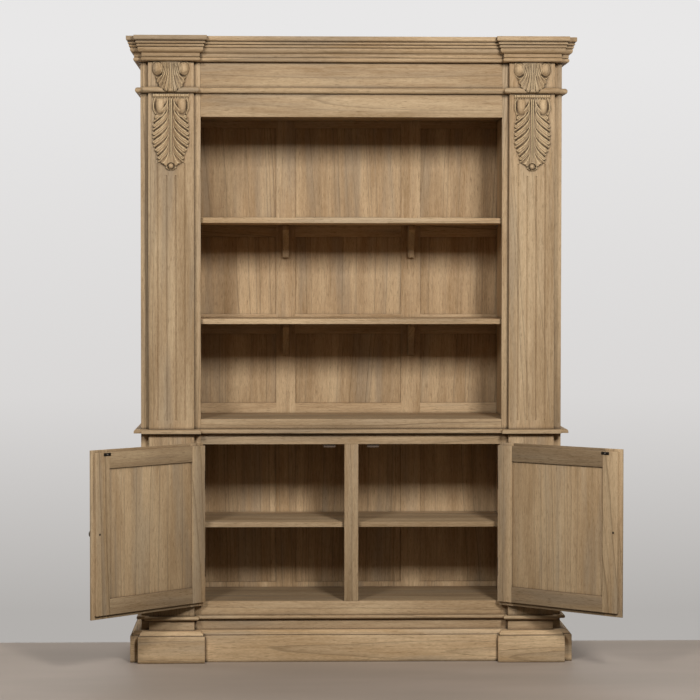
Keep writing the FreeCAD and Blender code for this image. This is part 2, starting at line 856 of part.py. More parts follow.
def carvings():
    """The large leaves hang under the frieze bead, the small ones over it under the cornice."""
    large, small = [], []
    for side in (-1, 1):
        top = v.bead_low - v.large_carving_drop
        size = (v.large_carving_length, v.large_carving_relief)
        plate, pieces = carved_leaf(side, top, *size, large_leaf_shares, 0.15)
        middle = side * v.pilaster_middle
        deep = v.large_carving_relief + v.carving_rib_proud
        corner = Vector(middle - v.carving_width / 2, v.pilaster_face - deep, top - v.carving_band_height)
        pieces.append(Part.makeBox(v.carving_width, deep, v.carving_band_height, corner))
        tip = Vector(middle, v.pilaster_face, top - v.large_carving_length + v.pearl_radius)
        pearl = Part.makeSphere(v.pearl_radius, tip)
        behind = Part.makeBox(
            2 * v.pearl_radius, v.pearl_radius, 2 * v.pearl_radius,
            tip - Vector(v.pearl_radius, 0, v.pearl_radius),
        )
        pieces.append(pearl.cut(behind))
        large.append(plate.multiFuse(pieces).removeSplitter().Solids[0])
        size = (v.small_carving_length, v.small_carving_relief)
        plate, pieces = carved_leaf(side, v.cornice_low, *size, small_leaf_shares, 0.21)
        small.append(plate.multiFuse(pieces).removeSplitter().Solids[0])
    feature("large_carvings", Part.makeCompound(large))
    feature("small_carvings", Part.makeCompound(small))
    return small


# Frieze bead and cornice


def frieze_bead(small_carvings):
    """The bead is let round the small carvings, which hang over it."""
    profile = half_round(v.bead_low, v.frieze_bead_height, v.frieze_bead_projection)
    solids = []
    for span in (SIDE_LEFT, BLOCK_LEFT, CENTRE, BLOCK_RIGHT, SIDE_RIGHT):
        solids += wrap(profile, *span).cut(small_carvings).Solids
    feature("frieze_bead", Part.makeCompound(solids))


# From the frieze up: shares of the cornice's projection and of its height
cornice_shares = (
    (0.36, 0.0), (0.498, 0.084, True), (0.4, 0.168), (0.42, 0.18), (0.45, 0.19), (0.45, 0.316),
    (0.52, 0.332), (0.67, 0.389, True), (0.72, 0.479), (0.72, 0.526), (0.68, 0.537), (0.68, 0.553),
    (0.72, 0.553), (0.8, 0.605, True), (0.76, 0.658), (0.74, 0.663), (0.74, 0.679),
    (0.79, 0.679), (0.88, 0.726, True), (0.84, 0.768), (0.81, 0.774), (0.81, 0.8),
    (0.88, 0.8), (0.96, 0.821), (1.0, 0.853), (1.0, 1.0),
)


def cornice():
    outer = tuple(
        (v.cornice_projection * share[0], v.cornice_low + v.cornice_height * share[1], *share[2:])
        for share in cornice_shares
    )
    profile = ((0, v.cornice_low), *outer, (0, v.full_height))
    runs("cornice_front", profile, CENTRE)
    runs("cornice_blocks", profile, BLOCK_LEFT, BLOCK_RIGHT)
    runs("cornice_sides", profile, SIDE_LEFT, SIDE_RIGHT)


# Hinge places, as heights of the middle of each hinge

HINGE_PLACES = ("upper_hinge_z", "lower_hinge_z")


def hinge_span(z):
    return (f"{z} - hinge_height / 2", f"{z} + hinge_height / 2")


# Doors, drawn closed, with places along the door given as distances from its hinge edge


class Door:
    def __init__(self, name, side, opened):
        self.name = name
        self.side = side
        self.opened = opened

    def x(self, distance):
        """The X of a distance from the hinge edge."""
        return f"{self.side} * (hinge_edge - ({distance}))"

    def box(self, near, far, y0, y1, z0, z1):
        x = (self.x(far), self.x(near)) if self.side > 0 else (self.x(near), self.x(far))
        return box(*x, y0, y1, z0, z1)

    def pin(self):
        return Vector(self.side * v.hinge_x, v.hinge_y, 0)

    def add(self, thing, label):
        """Keeps a piece of this door, turned open about the hinge pin."""
        turn = Rotation(Vector(0, 0, 1), self.side * self.opened)
        thing.Placement = Placement(Vector(), turn, self.pin())
        return keep(thing, f"{self.name}_door_{label}")

    def add_shape(self, shape, label):
        thing = doc.addObject("Part::Feature", "Shaped")
        thing.Shape = shape
        return self.add(thing, label)


def lipped(door, inset, lip):
    """A frame member: the part that fits in the opening and, before it, the part with the lip."""
    fused = doc.addObject("Part::MultiFuse", "Lipped")
    fused.Shapes = [
        door.box(*inset[0], "door_middle", "door_back", *inset[1]),
        door.box(*lip[0], "door_face", "door_middle", *lip[1]),
    ]
    fused.Refine = True
    return fused


def door_frame(door):
    low, high = "door_low", "door_high"
    lip_low, lip_high = "door_low - lip_width", "door_high + lip_top_width"
    near, far = "door_stile_width", "door_width - door_stile_width"
    x = ("0", near)
    stile = lipped(door, (x, (low, high)), (x, (lip_low, lip_high)))
    seats = []
    for z in HINGE_PLACES:
        foot = f"{z} - hinge_height / 2"
        seats.append(door.box("0", "mortise", "hinge_y", "leaf_back", *hinge_span(z)))
        room = "knuckle_radius + knuckle_clearance"
        seats.append(rod(room, "hinge_height", f"{door.side} * hinge_x", "hinge_y", foot))
    door.add(cut(stile, seats), "hinge_stile")
    inset = ((far, "door_width"), (low, high))
    door.add(lipped(door, inset, ((far, "door_width + lip_width"), (lip_low, lip_high))), "free_stile")
    x = (near, far)
    rail = f"{high} - door_rail_width"
    door.add(lipped(door, (x, (rail, high)), (x, (rail, lip_high))), "top_rail")
    rail = f"{low} + door_rail_width"
    door.add(lipped(door, (x, (low, rail)), (x, (lip_low, rail))), "bottom_rail")


def door_panel(door):
    face = "door_back - door_panel_recess"
    x = ("door_stile_width", "door_width - door_stile_width")
    z = ("door_low + door_rail_width", "door_high - door_rail_width")
    door.add(group([door.box(*x, f"{face} - door_panel_thick", face, *z)]), "panel")


# The moulding round the panel: shares of its width, and of its height from the panel
bead_shares = ((0.0, 1.0), (0.25, 1.0), (0.45, 0.72), (0.8, 0.55), (1.0, 0.2), (1.0, 0.0), (0.0, 0.0))


def door_bead(door):
    """Four mitred strips of moulding round the panel, on the side that faces the room when shut."""
    distances = (v.door_stile_width, v.door_width - v.door_stile_width)
    x0, x1 = sorted(door.side * (v.hinge_edge - distance) for distance in distances)
    z0, z1 = v.door_low + v.door_rail_width, v.door_high - v.door_rail_width
    panel = v.door_back - v.door_panel_recess - v.door_panel_thick
    deep = panel - (v.door_face - v.door_bead_stand)
    wide = v.door_bead_width
    corners = (((x0, z0), (1, 1)), ((x1, z0), (-1, 1)), ((x1, z1), (-1, -1)), ((x0, z1), (1, -1)))
    strips = []
    for first, second in zip(corners, corners[1:] + corners[:1]):
        ends = []
        for (x, z), (dx, dz) in (first, second):
            points = [
                Vector(x + dx * wide * across, panel - deep * out, z + dz * wide * across)
                for across, out in bead_shares
            ]
            ends.append(Part.makePolygon(points + points[:1]))
        strips.append(Part.makeLoft(ends, True, True))
    door.add_shape(Part.makeCompound(strips), "bead")


def screw_head(x, y, z):
    """A low screw head, standing towards the inside of the cupboard."""
    head = doc.addObject("Part::Cone", "ScrewHead")
    head.Placement = Placement(Vector(), Rotation(Vector(0, 0, 1), Vector(0, 1, 0)))
    bind(head, Radius1="screw_head_radius", Radius2="screw_head_radius / 2", Height="screw_head_height")
    return bind_base(head, x, y, z)


def door_knob(door):
    """A turned knob with a rose, a stem and a ball, and its screw on the other face."""
    body = new_body("Knob")
    sketch = sketch_on(body, "XY_Plane")
    corners = (
        ("0", "0"),
        ("knob_base_radius", "0"),
        ("knob_base_radius", "knob_base_thick"),
        ("knob_stem_radius", "knob_base_thick"),
        ("knob_stem_radius", "knob_neck"),
        ("0", "knob_crown"),
    )
    add_outline(sketch, corners, 4, Vector(v.knob_radius, v.knob_reach, 0), "knob_radius")
    turned = body.newObject("PartDesign::Revolution", "Turned")
    turned.Profile = sketch
    turned.ReferenceAxis = (sketch, ["V_Axis"])
    turned.Angle = 360
    body.Placement = Placement(Vector(), Rotation(Vector(1, 0, 0), 180))
    x = door.x("knob_distance")
    bind_base(body, x, "door_face", "knob_z")
    door.add(group([body, screw_head(x, "door_back", "knob_z")]), "knob")


def door_strike(door):
    """The catch's steel plate and its screw."""
    x = ("strike_distance - strike_width / 2", "strike_distance + strike_width / 2")
    plate = door.box(*x, "door_back", "door_back + strike_thick", "strike_low", "strike_high")
    middle = "(strike_low + strike_high) / 2"
    screw = screw_head(door.x("strike_distance"), "door_back + strike_thick", middle)
    door.add(group([plate, screw]), "strike")


# Hinges


def hinge_half(door, height, on_door):
    """One leaf with its knuckles: the middle one on the door, the two outer ones on the frame."""
    low = height - v.hinge_height / 2
    third = v.hinge_height / 3
    foot = door.pin() + Vector(0, 0, low)
    sign = -door.side if on_door else door.side
    near = foot.x + sign * v.leaf_gap / 2
    far = near + sign * v.leaf_thick
    corner = Vector(min(near, far), v.hinge_y, low)
    leaf = Part.makeBox(v.leaf_thick, v.leaf_reach, v.hinge_height, corner)
    clear = Part.makeCylinder(v.knuckle_radius + v.knuckle_clearance, v.hinge_height, foot)
    if on_door:
        spans = [(third + v.knuckle_gap, third - 2 * v.knuckle_gap)]
    else:
        spans = [(0, third), (2 * third, third)]
    solids = []
    for start, length in spans:
        lift = Vector(0, 0, start)
        solids.append(Part.makeCylinder(v.knuckle_radius, length, foot + lift))
        solids.append(Part.makeBox(v.leaf_thick, v.leaf_reach, length, corner + lift))
    bore = v.hinge_pin_radius + v.hinge_pin_clearance
    hole = Part.makeCylinder(bore, v.hinge_height + 2 * v.overrun, foot - Vector(0, 0, v.overrun))
    return leaf.cut(clear).multiFuse(solids).cut(hole).removeSplitter().Solids[0]


def hinges(doors):
    frame_leaves, pins = [], []
    for door in doors:
        heights = (v.upper_hinge_z, v.lower_hinge_z)
        door_leaves = [hinge_half(door, z, True) for z in heights]
        door.add_shape(Part.makeCompound(door_leaves), "hinge_leaves")
        frame_leaves += [hinge_half(door, z, False) for z in heights]
        for z in HINGE_PLACES:
            place = (f"{door.side} * hinge_x", "hinge_y", f"{z} - hinge_height / 2")
            pins.append(rod("hinge_pin_radius", "hinge_height", *place))
    feature("frame_hinge_leaves", Part.makeCompound(frame_leaves))
    keep(group(pins), "hinge_pins")


def magnetic_catches():
    """A magnet case under the top rail for each door, with two pole pieces towards the strike."""
    face = "door_back + strike_thick + screw_head_height + catch_gap"
    top = "cupboard_opening_top"
    solids = []
    for side in (-1, 1):
        middle = f"{side} * (half_stile + catch_place)"
        case = box(
            f"{middle} - catch_width / 2", f"{middle} + catch_width / 2",
            face, f"{face} + catch_depth", f"{top} - catch_height", top,
        )
        poles = []
        for sign in (-1, 1):
            x = f"{middle} + {sign} * pole_spacing / 2"
            poles.append(box(
                f"{x} - pole_width / 2", f"{x} + pole_width / 2",
                face, f"{face} + catch_depth / 2",
                f"{top} - catch_height - pole_stand", f"{top} - catch_height",
            ))
        fused = doc.addObject("Part::MultiFuse", "Catch")
        fused.Shapes = [case, *poles]
        solids.append(fused)
    keep(group(solids), "magnetic_catches")


def build():
    base()
    plinth()
    base_board()
    cupboard_frame()
    cupboard_carcass()
    waist_board()
    bookcase_frame()
    bookcase_carcass()
    all_shelf_pins()
    shelf_brackets()
    backs()
    pilasters()
    frieze_bead(carvings())
    cornice()
    doors = (Door("left", -1, v.left_door_open), Door("right", 1, v.right_door_open))
    for door in doors:
        door_frame(door)
        door_panel(door)
        door_bead(door)
        door_knob(door)
        door_strike(door)
    hinges(doors)
    magnetic_catches()
    doc.recompute()


def check():
    """Stops on any object that failed and on any sub-part without a sound shape."""
    for thing in doc.Objects:
        if "Invalid" in thing.State or "Error" in thing.State:
            raise RuntimeError(f"{thing.Name} ({thing.Label}) did not build: {thing.State}")
    labels = [thing.Label for thing in parts]
    if len(set(labels)) != len(labels):
        raise RuntimeError("two sub-parts share a name")
    for thing in parts:
        if thing.Shape.isNull() or not thing.Shape.isValid() or not thing.Shape.Solids:
            raise RuntimeError(f"{thing.Label} has no sound shape")
    check_fluting()


def export():
    os.makedirs("parts", exist_ok=True)
    for thing in parts:
        thing.Shape.exportStep(f"parts/{thing.Label}.step")
    print(len(parts), "sub-parts")


build()
check()
export()
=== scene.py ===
import bmesh
import bpy
import json
import math
import random
from functools import partial
from mathutils import Matrix, Vector


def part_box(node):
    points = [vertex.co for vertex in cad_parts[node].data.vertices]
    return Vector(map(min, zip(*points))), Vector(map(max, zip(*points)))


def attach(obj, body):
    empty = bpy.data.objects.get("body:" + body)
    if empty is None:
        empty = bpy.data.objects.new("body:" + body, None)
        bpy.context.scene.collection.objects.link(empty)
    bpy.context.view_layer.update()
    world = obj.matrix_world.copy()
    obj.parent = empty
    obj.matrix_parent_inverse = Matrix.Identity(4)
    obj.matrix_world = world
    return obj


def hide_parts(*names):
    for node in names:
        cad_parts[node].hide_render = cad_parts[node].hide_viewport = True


# The looks of a breakfront bookcase on a two-door cupboard, in limed hardwood.
# Metres. X runs to the right, -Y faces the room, +Z is up, the origin is on the floor.

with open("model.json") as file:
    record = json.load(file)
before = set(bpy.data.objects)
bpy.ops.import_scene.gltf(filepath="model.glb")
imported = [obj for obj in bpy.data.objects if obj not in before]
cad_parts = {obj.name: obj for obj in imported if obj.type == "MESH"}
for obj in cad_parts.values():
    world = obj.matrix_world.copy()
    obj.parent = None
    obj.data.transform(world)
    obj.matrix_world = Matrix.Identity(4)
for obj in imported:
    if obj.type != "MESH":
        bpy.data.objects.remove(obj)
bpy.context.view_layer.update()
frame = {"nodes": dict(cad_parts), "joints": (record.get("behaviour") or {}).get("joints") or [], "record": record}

MM = 0.001
# Axes by number, for the way that grain runs
Y, Z = 1, 2
CAD_NODES = frame["nodes"]
BODY_OF = {name: body for body, names in frame["record"]["behaviour"]["bodies"].items() for name in names}


# Small helpers


def smooth_step(low, high, x):
    """Rises smoothly from 0 at low to 1 at high, or falls where low is the greater."""
    t = min(1.0, max(0.0, (x - low) / (high - low)))
    return t * t * (3 - 2 * t)


def linear(code):
    """An sRGB hex colour as linear red, green, blue and alpha."""
    channels = [int(code[i:i + 2], 16) / 255 for i in (1, 3, 5)]
    return tuple([c / 12.92 if c <= 0.04045 else ((c + 0.055) / 1.055) ** 2.4 for c in channels] + [1.0])


def extent(points):
    """The least and the greatest of each coordinate."""
    return [[pick(p[i] for p in points) for i in range(3)] for pick in (min, max)]


# Short names for the nodes that are used most, with their settings
NODES = {
    "times": ("ShaderNodeMath", {"operation": "MULTIPLY"}),
    "plus": ("ShaderNodeMath", {"operation": "ADD"}),
    "minus": ("ShaderNodeMath", {"operation": "SUBTRACT"}),
    "over": ("ShaderNodeMath", {"operation": "DIVIDE"}),
    "highest": ("ShaderNodeMath", {"operation": "MAXIMUM"}),
    "stretch": ("ShaderNodeVectorMath", {"operation": "MULTIPLY"}),
    "range": ("ShaderNodeMapRange", {"interpolation_type": "SMOOTHSTEP"}),
    "mix": ("ShaderNodeMix", {"data_type": "RGBA"}),
    "noise": ("ShaderNodeTexNoise", {}),
}


def add(tree, kind, *values, **more):
    """Adds a node with its settings and links. Values go to its inputs in order, or by name with a capital;
    other words are settings. A node given as a value stands for its first output."""
    kind, settings = NODES.get(kind, (kind, {}))
    node = tree.nodes.new(kind)
    for name, value in {**settings, **more}.items():
        if not name[0].isupper():
            setattr(node, name, value)
    sockets = [socket for socket in node.inputs if socket.enabled]
    named = [(node.inputs[name.replace("_", " ")], value)
             for name, value in more.items() if name[0].isupper()]
    for socket, value in list(zip(sockets, values)) + named:
        if isinstance(value, bpy.types.Node):
            value = next(output for output in value.outputs if output.enabled)
        if isinstance(value, bpy.types.NodeSocket):
            tree.links.new(value, socket)
        else:
            socket.default_value = value
    return node


def new_material(name):
    """An empty material, and a short way to add nodes to it."""
    material = bpy.data.materials.new(name)
    material.use_nodes = True
    material.node_tree.nodes.clear()
    return material, partial(add, material.node_tree)


# Materials

WOOD = {
    "pale": "#cfb48e",
    "middle": "#b59976",
    "brown": "#967955",
    "ring": "#715a39",
    "grey": "#958876",
    "stain": "#8d7f6c",
    # Dark wax in corners and in the carving's cuts, which also serves as painted shade there
    "wax_and_shade": "#33261a",
    # The carving's crests rubbed pale, which also serves as a painted highlight on them
    "rubbed_and_lit_crest": "#dcc39a",
}
RING_SPACING = 13 * MM
# Takes the boards' rings so far apart in number that each board has its own strong and weak ones
RINGS_APART = 97.0
# How far the growth rings wander from circles, in long bends and in short ones
LONG_BENDS, SHORT_BENDS = 36 * MM, 3.2 * MM
# How often each pattern repeats in a metre, along the grain and both ways across it
PER_METRE = {
    "long bends": (1.1, 9, 9),
    "short bends": (8, 70, 70),
    "bands": (1.5, 14, 14),
    "streaks": (7.0, 140, 140),
    "fibres": (45, 640, 640),
    "flecks": (30, 300, 300),
    "patches": (1.3, 15, 15),
    "pores": (85, 1300, 1300),
}


def wood(name, reach, nooks, carved=False):
    """Limed hardwood: bleached, brushed along the grain, pale lime in the pores and dark wax left in
    the corners, with painted shade that darkens corners and hollows by how closed in they are. It looks pale
    and dry, with thin dark growth lines and soft grey streaks."""
    material, node = new_material(name)
    fibre, heart, board = (node("ShaderNodeAttribute", attribute_name=n).outputs["Vector"]
                           for n in ("fibre", "heart", "board"))
    seed, tone, wax_and_shade_share = node("ShaderNodeSeparateXYZ", board).outputs

    def noise(pattern, place, *settings):
        return node("noise", node("stretch", place, PER_METRE[pattern]), 1.0, *settings)

    # Growth rings round the heart of the log, which runs along X of the heart coordinates
    radius = node("ShaderNodeVectorMath", node("stretch", heart, (0, 1, 1)), operation="LENGTH")
    slow = noise("long bends", heart, 1.0)
    quick = noise("short bends", heart, 2.0)
    ring = node("plus", node("times", slow, LONG_BENDS), node("times", quick, SHORT_BENDS))
    ring = node("plus", radius, ring)
    ring = node("over", ring, RING_SPACING)
    share = node("ShaderNodeMath", ring, operation="FRACT")
    number = node("plus", node("ShaderNodeMath", ring, operation="FLOOR"), node("times", seed, RINGS_APART))
    strength = node("ShaderNodeTexWhiteNoise", number, noise_dimensions="1D").outputs["Value"]
    strength = node("range", strength, 0.5, 1.0, 0, 1)
    line = node("times", node("range", share, 0.72, 0.93, 0, 1), node("range", share, 0.94, 1.0, 1, 0))
    line = node("times", line, strength)
    halo = node("times", node("range", share, 0.1, 0.95, 0, 1), strength)

    # Streaks along the grain, from broad bands to single fibres
    bands = noise("bands", fibre, 2.0)
    streaks = noise("streaks", fibre, 3.0, 0.7)
    fibres = noise("fibres", fibre, 2.0, 0.6)
    flecks = noise("flecks", fibre, 2.0, 0.6)
    depth = node("plus", node("range", bands, 0.3, 0.7, 0, 0.44), node("range", streaks, 0.25, 0.75, 0, 0.28))
    depth = node("plus", depth, node("range", fibres, 0.3, 0.7, 0, 0.28))
    ramp = node("ShaderNodeValToRGB", depth)
    stops = ramp.color_ramp.elements
    stops[0].position, stops[0].color = 0.05, linear(WOOD["brown"])
    stops[1].position, stops[1].color = 0.95, linear(WOOD["pale"])
    stops.new(0.5).color = linear(WOOD["middle"])

    # Grey stain in broad patches and beside the rings, and the dark ring lines themselves
    patches = node("range", noise("patches", fibre, 2.0, 0.6), 0.48, 0.72, 0, 0.42)
    colour = node("mix", patches, ramp, linear(WOOD["grey"]))
    colour = node("mix", node("times", halo, 0.26), colour, linear(WOOD["stain"]))
    line = node("times", line, node("range", streaks, 0.28, 0.5, 0.5, 1.0))
    colour = node("mix", node("times", line, 0.62), colour, linear(WOOD["ring"]))

    # Open pores: dashes 0.4 mm wide and 6 mm long, and a coarser set, 1.5 mm wide and 20 mm long, so
    # that they still show from across a room
    pores = node("range", noise("pores", fibre, 1.0), 0.6, 0.72, 0, 0.38)
    dashes = node("range", flecks, 0.57, 0.7, 0, 0.5)
    colour = node("mix", node("highest", pores, dashes), colour, linear(WOOD["ring"]))

    # Every board has its own depth of colour
    shade = node("ShaderNodeCombineXYZ", tone, tone, tone)
    colour = node("mix", 1.0, colour, shade, blend_type="MULTIPLY")

    # Dark wax that the cloth doesn't reach, and painted shade: corners and hollows darken by how closed in they
    # are
    nook = node("ShaderNodeAmbientOcclusion", samples=6, Distance=reach).outputs["AO"]
    wax_and_shade = node("times", node("range", nook, *nooks, 0.95, 0), wax_and_shade_share)
    colour = node("mix", wax_and_shade, colour, linear(WOOD["wax_and_shade"]))

    # The cloth rubs the crests of the carving pale and leaves wax in its cuts; the pale crests are also a painted
    # highlight, and the dark cuts painted shade
    if carved:
        bend = node("ShaderNodeNewGeometry").outputs["Pointiness"]
        colour = node("mix", node("range", bend, 0.502, 0.545, 0, 0.85), colour, linear(WOOD["rubbed_and_lit_crest"]))
        colour = node("mix", node("range", bend, 0.492, 0.44, 0, 0.62), colour, linear(WOOD["wax_and_shade"]))

    height = node("minus", node("times", fibres, 0.6), node("plus", node("times", line, 0.5), pores))
    bump = node("ShaderNodeBump", Strength=0.35, Distance=0.4 * MM, Height=height)
    shader = node("ShaderNodeBsdfPrincipled", colour, Normal=bump, IOR=1.45, Specular_IOR_Level=0.35,
                  Roughness=node("range", streaks, 0.2, 0.8, 0.76, 0.6))
    node("ShaderNodeOutputMaterial", shader)
    return material


def dark_iron(name):
    """Blackened cast iron: rough from the sand mould, rubbed bare on what the hand touches, so that it
    is nearly black with a soft light on its round places."""
    material, node = new_material(name)
    place = node("ShaderNodeTexCoord").outputs["Object"]
    mottled = node("noise", place, 260, 3.0, 0.6)
    colour = node("mix", node("range", mottled, 0.35, 0.7, 0, 1), linear("#191613"), linear("#3a332c"))
    bump = node("ShaderNodeBump", Strength=0.3, Distance=0.15 * MM, Height=node("noise", place, 900, 2.0))
    rough = node("range", mottled, 0.3, 0.7, 0.5, 0.32)
    shader = node("ShaderNodeBsdfPrincipled", colour, 0.85, rough, Normal=bump)
    node("ShaderNodeOutputMaterial", shader)
    return material


def brushed_steel(name):
    """Cold-rolled steel, brushed: dull grey with fine lines along its length."""
    material, node = new_material(name)
    place = node("ShaderNodeTexCoord").outputs["Object"]
    lines = node("noise", node("stretch", place, (900, 900, 40)), 1.0, 2.0, 0.6)
    colour = node("mix", node("range", lines, 0.3, 0.7, 0, 1), linear("#77736c"), linear("#9a958c"))
    rough = node("range", lines, 0.3, 0.7, 0.34, 0.48)
    shader = node("ShaderNodeBsdfPrincipled", colour, 1.0, rough)
    node("ShaderNodeOutputMaterial", shader)
    return material


def moulded_plastic(name):
    """Moulded ABS, brown, with the fine even grain of its mould, so that it has a soft dull gloss."""
    material, node = new_material(name)
    place = node("ShaderNodeTexCoord").outputs["Object"]
    grains = node("noise", place, 1500, 1.0)
    colour = node("mix", grains, linear("#4a3a2b"), linear("#5d4a38"))
    rough = node("range", grains, 0.3, 0.7, 0.42, 0.55)
    shader = node("ShaderNodeBsdfPrincipled", colour, Roughness=rough, IOR=1.53)
    node("ShaderNodeOutputMaterial", shader)
    return material


# The material of each slot. The woods say how far from a corner wax and painted shade reach, and how open a
# place is that is full of them and that has none
FINISHES = {
    "limed_wood": wood("limed_hardwood", 14 * MM, (0.3, 0.95)),
    "carved_wood": wood("carved_hardwood", 11 * MM, (0.35, 0.97), carved=True),
    "dark_metal": dark_iron("blackened_iron"),
    "steel": brushed_steel("brushed_steel"),
    "catch_plastic": moulded_plastic("moulded_abs"),
}


# Boards


def closed_door(body):
    """The turn from a door as it stands back to its closed place, where its boards are square. A body
    without a joint isn't turned."""
    for joint in frame["joints"]:
        if joint["child"] == body:
            pin = Matrix.Translation(Vector(joint["pos_m"]))
            closing = math.radians(joint["range_deg"][0])
            return pin @ Matrix.Rotation(closing, 4, Vector(joint["axis"])) @ pin.inverted()
    return Matrix.Identity(4)


def clean_copy(node, whole=True):
    """A copy of a CAD node's mesh with its doubles merged and, if whole, its flat faces made one."""
    mesh = bmesh.new()
    mesh.from_mesh(CAD_NODES[node].data)
    bmesh.ops.remove_doubles(mesh, verts=mesh.verts, dist=0.01 * MM)
    if whole:
        bmesh.ops.dissolve_limit(mesh, angle_limit=math.radians(0.5), verts=mesh.verts, edges=mesh.edges)
    return mesh


def islands(mesh):
    """The separate boards in a mesh, each as a list of its faces."""
    found, seen = [], set()
    for first in mesh.faces:
        if first in seen:
            continue
        stack, board = [first], []
        seen.add(first)
        while stack:
            face = stack.pop()
            board.append(face)
            for edge in face.edges:
                for other in edge.link_faces:
                    if other not in seen:
                        seen.add(other)
                        stack.append(other)
        found.append(board)
    return found


# How the boards were sawn: how far the heart of the log is beside the board's edge (in a flat-sawn board
# beside its middle, as a share of half its width) and behind its face, both in millimetres, and how much it
# leans from the board, both ways
SAWN = {
    "flat": ((-0.85, -0.2), (35, 75), (0.02, 0.05)),
    "rift": ((30, 120), (90, 170), (0.05, 0.03)),
    "quarter": ((150, 230), (10, 40), (0.015, 0.01)),
}
# Boards are cut from anywhere in this many metres of pattern, so that no two are alike
PATTERN_LENGTH = 30
# How dark a quirk is made, by its wax and by painted shade in it
QUIRK_WAX_AND_SHADE_TONE = 0.4


def write_grain(mesh, body, name, cut="rift", along=None, mitred=False, upright=None, tone=1.0, wax_and_shade=0.6,
                quirk=None):
    """Gives every corner its place in the log it was sawn from, X along the grain. The fibres run
    straight along the board; the rings lie round a heart that leans a little away from it. The grain
    runs along the longest side, or along the axis given, turns at the corners of a mitred board, and
    stands up in upright pieces, given as distances from the middle. A quirk, given as two levels, is
    darkened all through, as wax and painted shade."""
    fibre = mesh.loops.layers.float_vector.new("fibre")
    heart = mesh.loops.layers.float_vector.new("heart")
    board = mesh.loops.layers.float_vector.new("board")
    square = closed_door(body)
    boards = sorted(islands(mesh),
                    key=lambda faces: tuple(round(c, 4) for c in faces[0].calc_center_median()))
    for index, faces in enumerate(boards):
        dice = random.Random(f"{name} {index}")
        low, high = extent([square @ loop.vert.co for face in faces for loop in face.loops])
        size = [high[i] - low[i] for i in range(3)]
        middle = [low[i] + size[i] / 2 for i in range(3)]
        order = sorted(range(3), key=lambda i: -size[i])
        if along is not None:
            order = [along] + [i for i in order if i != along]
        beside, behind, lean = SAWN[cut]
        side = dice.choice((-1, 1))
        half = size[order[1]] / 2
        if cut == "flat":
            beside = dice.uniform(*beside) * half
        else:
            beside = half + dice.uniform(*beside) * MM
        offset = (side * beside, dice.uniform(*behind) * MM)
        tilt = (dice.choice((-1, 1)) * lean[0] * dice.uniform(0.5, 1),
                dice.choice((-1, 1)) * lean[1] * dice.uniform(0.7, 1.2))
        shift = [dice.uniform(0, PATTERN_LENGTH) for _ in range(3)]
        values = (dice.random(), tone * dice.uniform(0.96, 1.04), wax_and_shade)
        for face in faces:
            normal = square.to_3x3() @ face.normal
            centre = square @ face.calc_center_median()
            axes = order
            if mitred:
                axes = [1, 2, 0] if abs(normal.x) > abs(normal.y) + 0.01 else [0, 2, 1]
            if upright and any(low_x < abs(centre.x) < high_x for low_x, high_x in upright):
                axes = [2, 0, 1]
            # A quirk is darkened all through, as wax and painted shade
            in_waxed_shaded_quirk = quirk and quirk[0] < centre.z < quirk[1]
            for loop in face.loops:
                p = square @ loop.vert.co
                run, across, deep = (p[i] - middle[i] for i in axes)
                loop[fibre] = (run + shift[0], across + shift[1], deep + shift[2])
                loop[heart] = (run + shift[0], across + offset[0] + tilt[0] * run,
                               deep + offset[1] + tilt[1] * run)
                loop[board] = (values[0], QUIRK_WAX_AND_SHADE_TONE * tone, 1.0) if in_waxed_shaded_quirk else values


def to_object(mesh, name, slot, crease=35):
    """A finished mesh as an object at the origin, smooth except at edges sharper than the crease."""
    data = bpy.data.meshes.new(name)
    mesh.to_mesh(data)
    mesh.free()
    data.polygons.foreach_set("use_smooth", [True] * len(data.polygons))
    data.set_sharp_from_angle(angle=math.radians(crease))
    data.materials.append(FINISHES[slot])
    thing = bpy.data.objects.new(name, data)
    bpy.context.scene.collection.objects.link(thing)
    return thing


def stands_for(thing, node):
    """Puts a finished piece in the place of a CAD node, on the same body."""
    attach(thing, BODY_OF[node])
    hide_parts(node)


def worn(mesh, width, angle=30):
    """Takes the sharpness off every edge, by a chamfer in two steps."""
    edges = [e for e in mesh.edges if len(e.link_faces) == 2 and e.calc_face_angle(0) > math.radians(angle)]
    bmesh.ops.bevel(mesh, geom=edges, offset=width, segments=2, profile=0.6, affect="EDGES",
                    clamp_overlap=True)


def dress(node, edge=1.2, whole=True, **sawn):
    """A CAD node of limed wood with worn edges, their width in millimetres, and its grain."""
    mesh = clean_copy(node, whole)
    if edge:
        worn(mesh, edge * MM)
    write_grain(mesh, BODY_OF[node], node, **sawn)
    stands_for(to_object(mesh, f"dressed_{node}", "limed_wood"), node)


# The upright pieces of the back frames, as distances from the middle
MUNTINS = ((0.212, 0.292), (0.579, 0.82))
# The plinth's quirk, between these levels, is darkened as wax and painted shade
PLINTH = {"edge": 0.4, "cut": "flat", "wax_and_shade": 1.0, "quirk": (0.103, 0.1053)}
BACK_FRAME = {"whole": False, "edge": 0.0, "wax_and_shade": 0.25, "upright": MUNTINS}
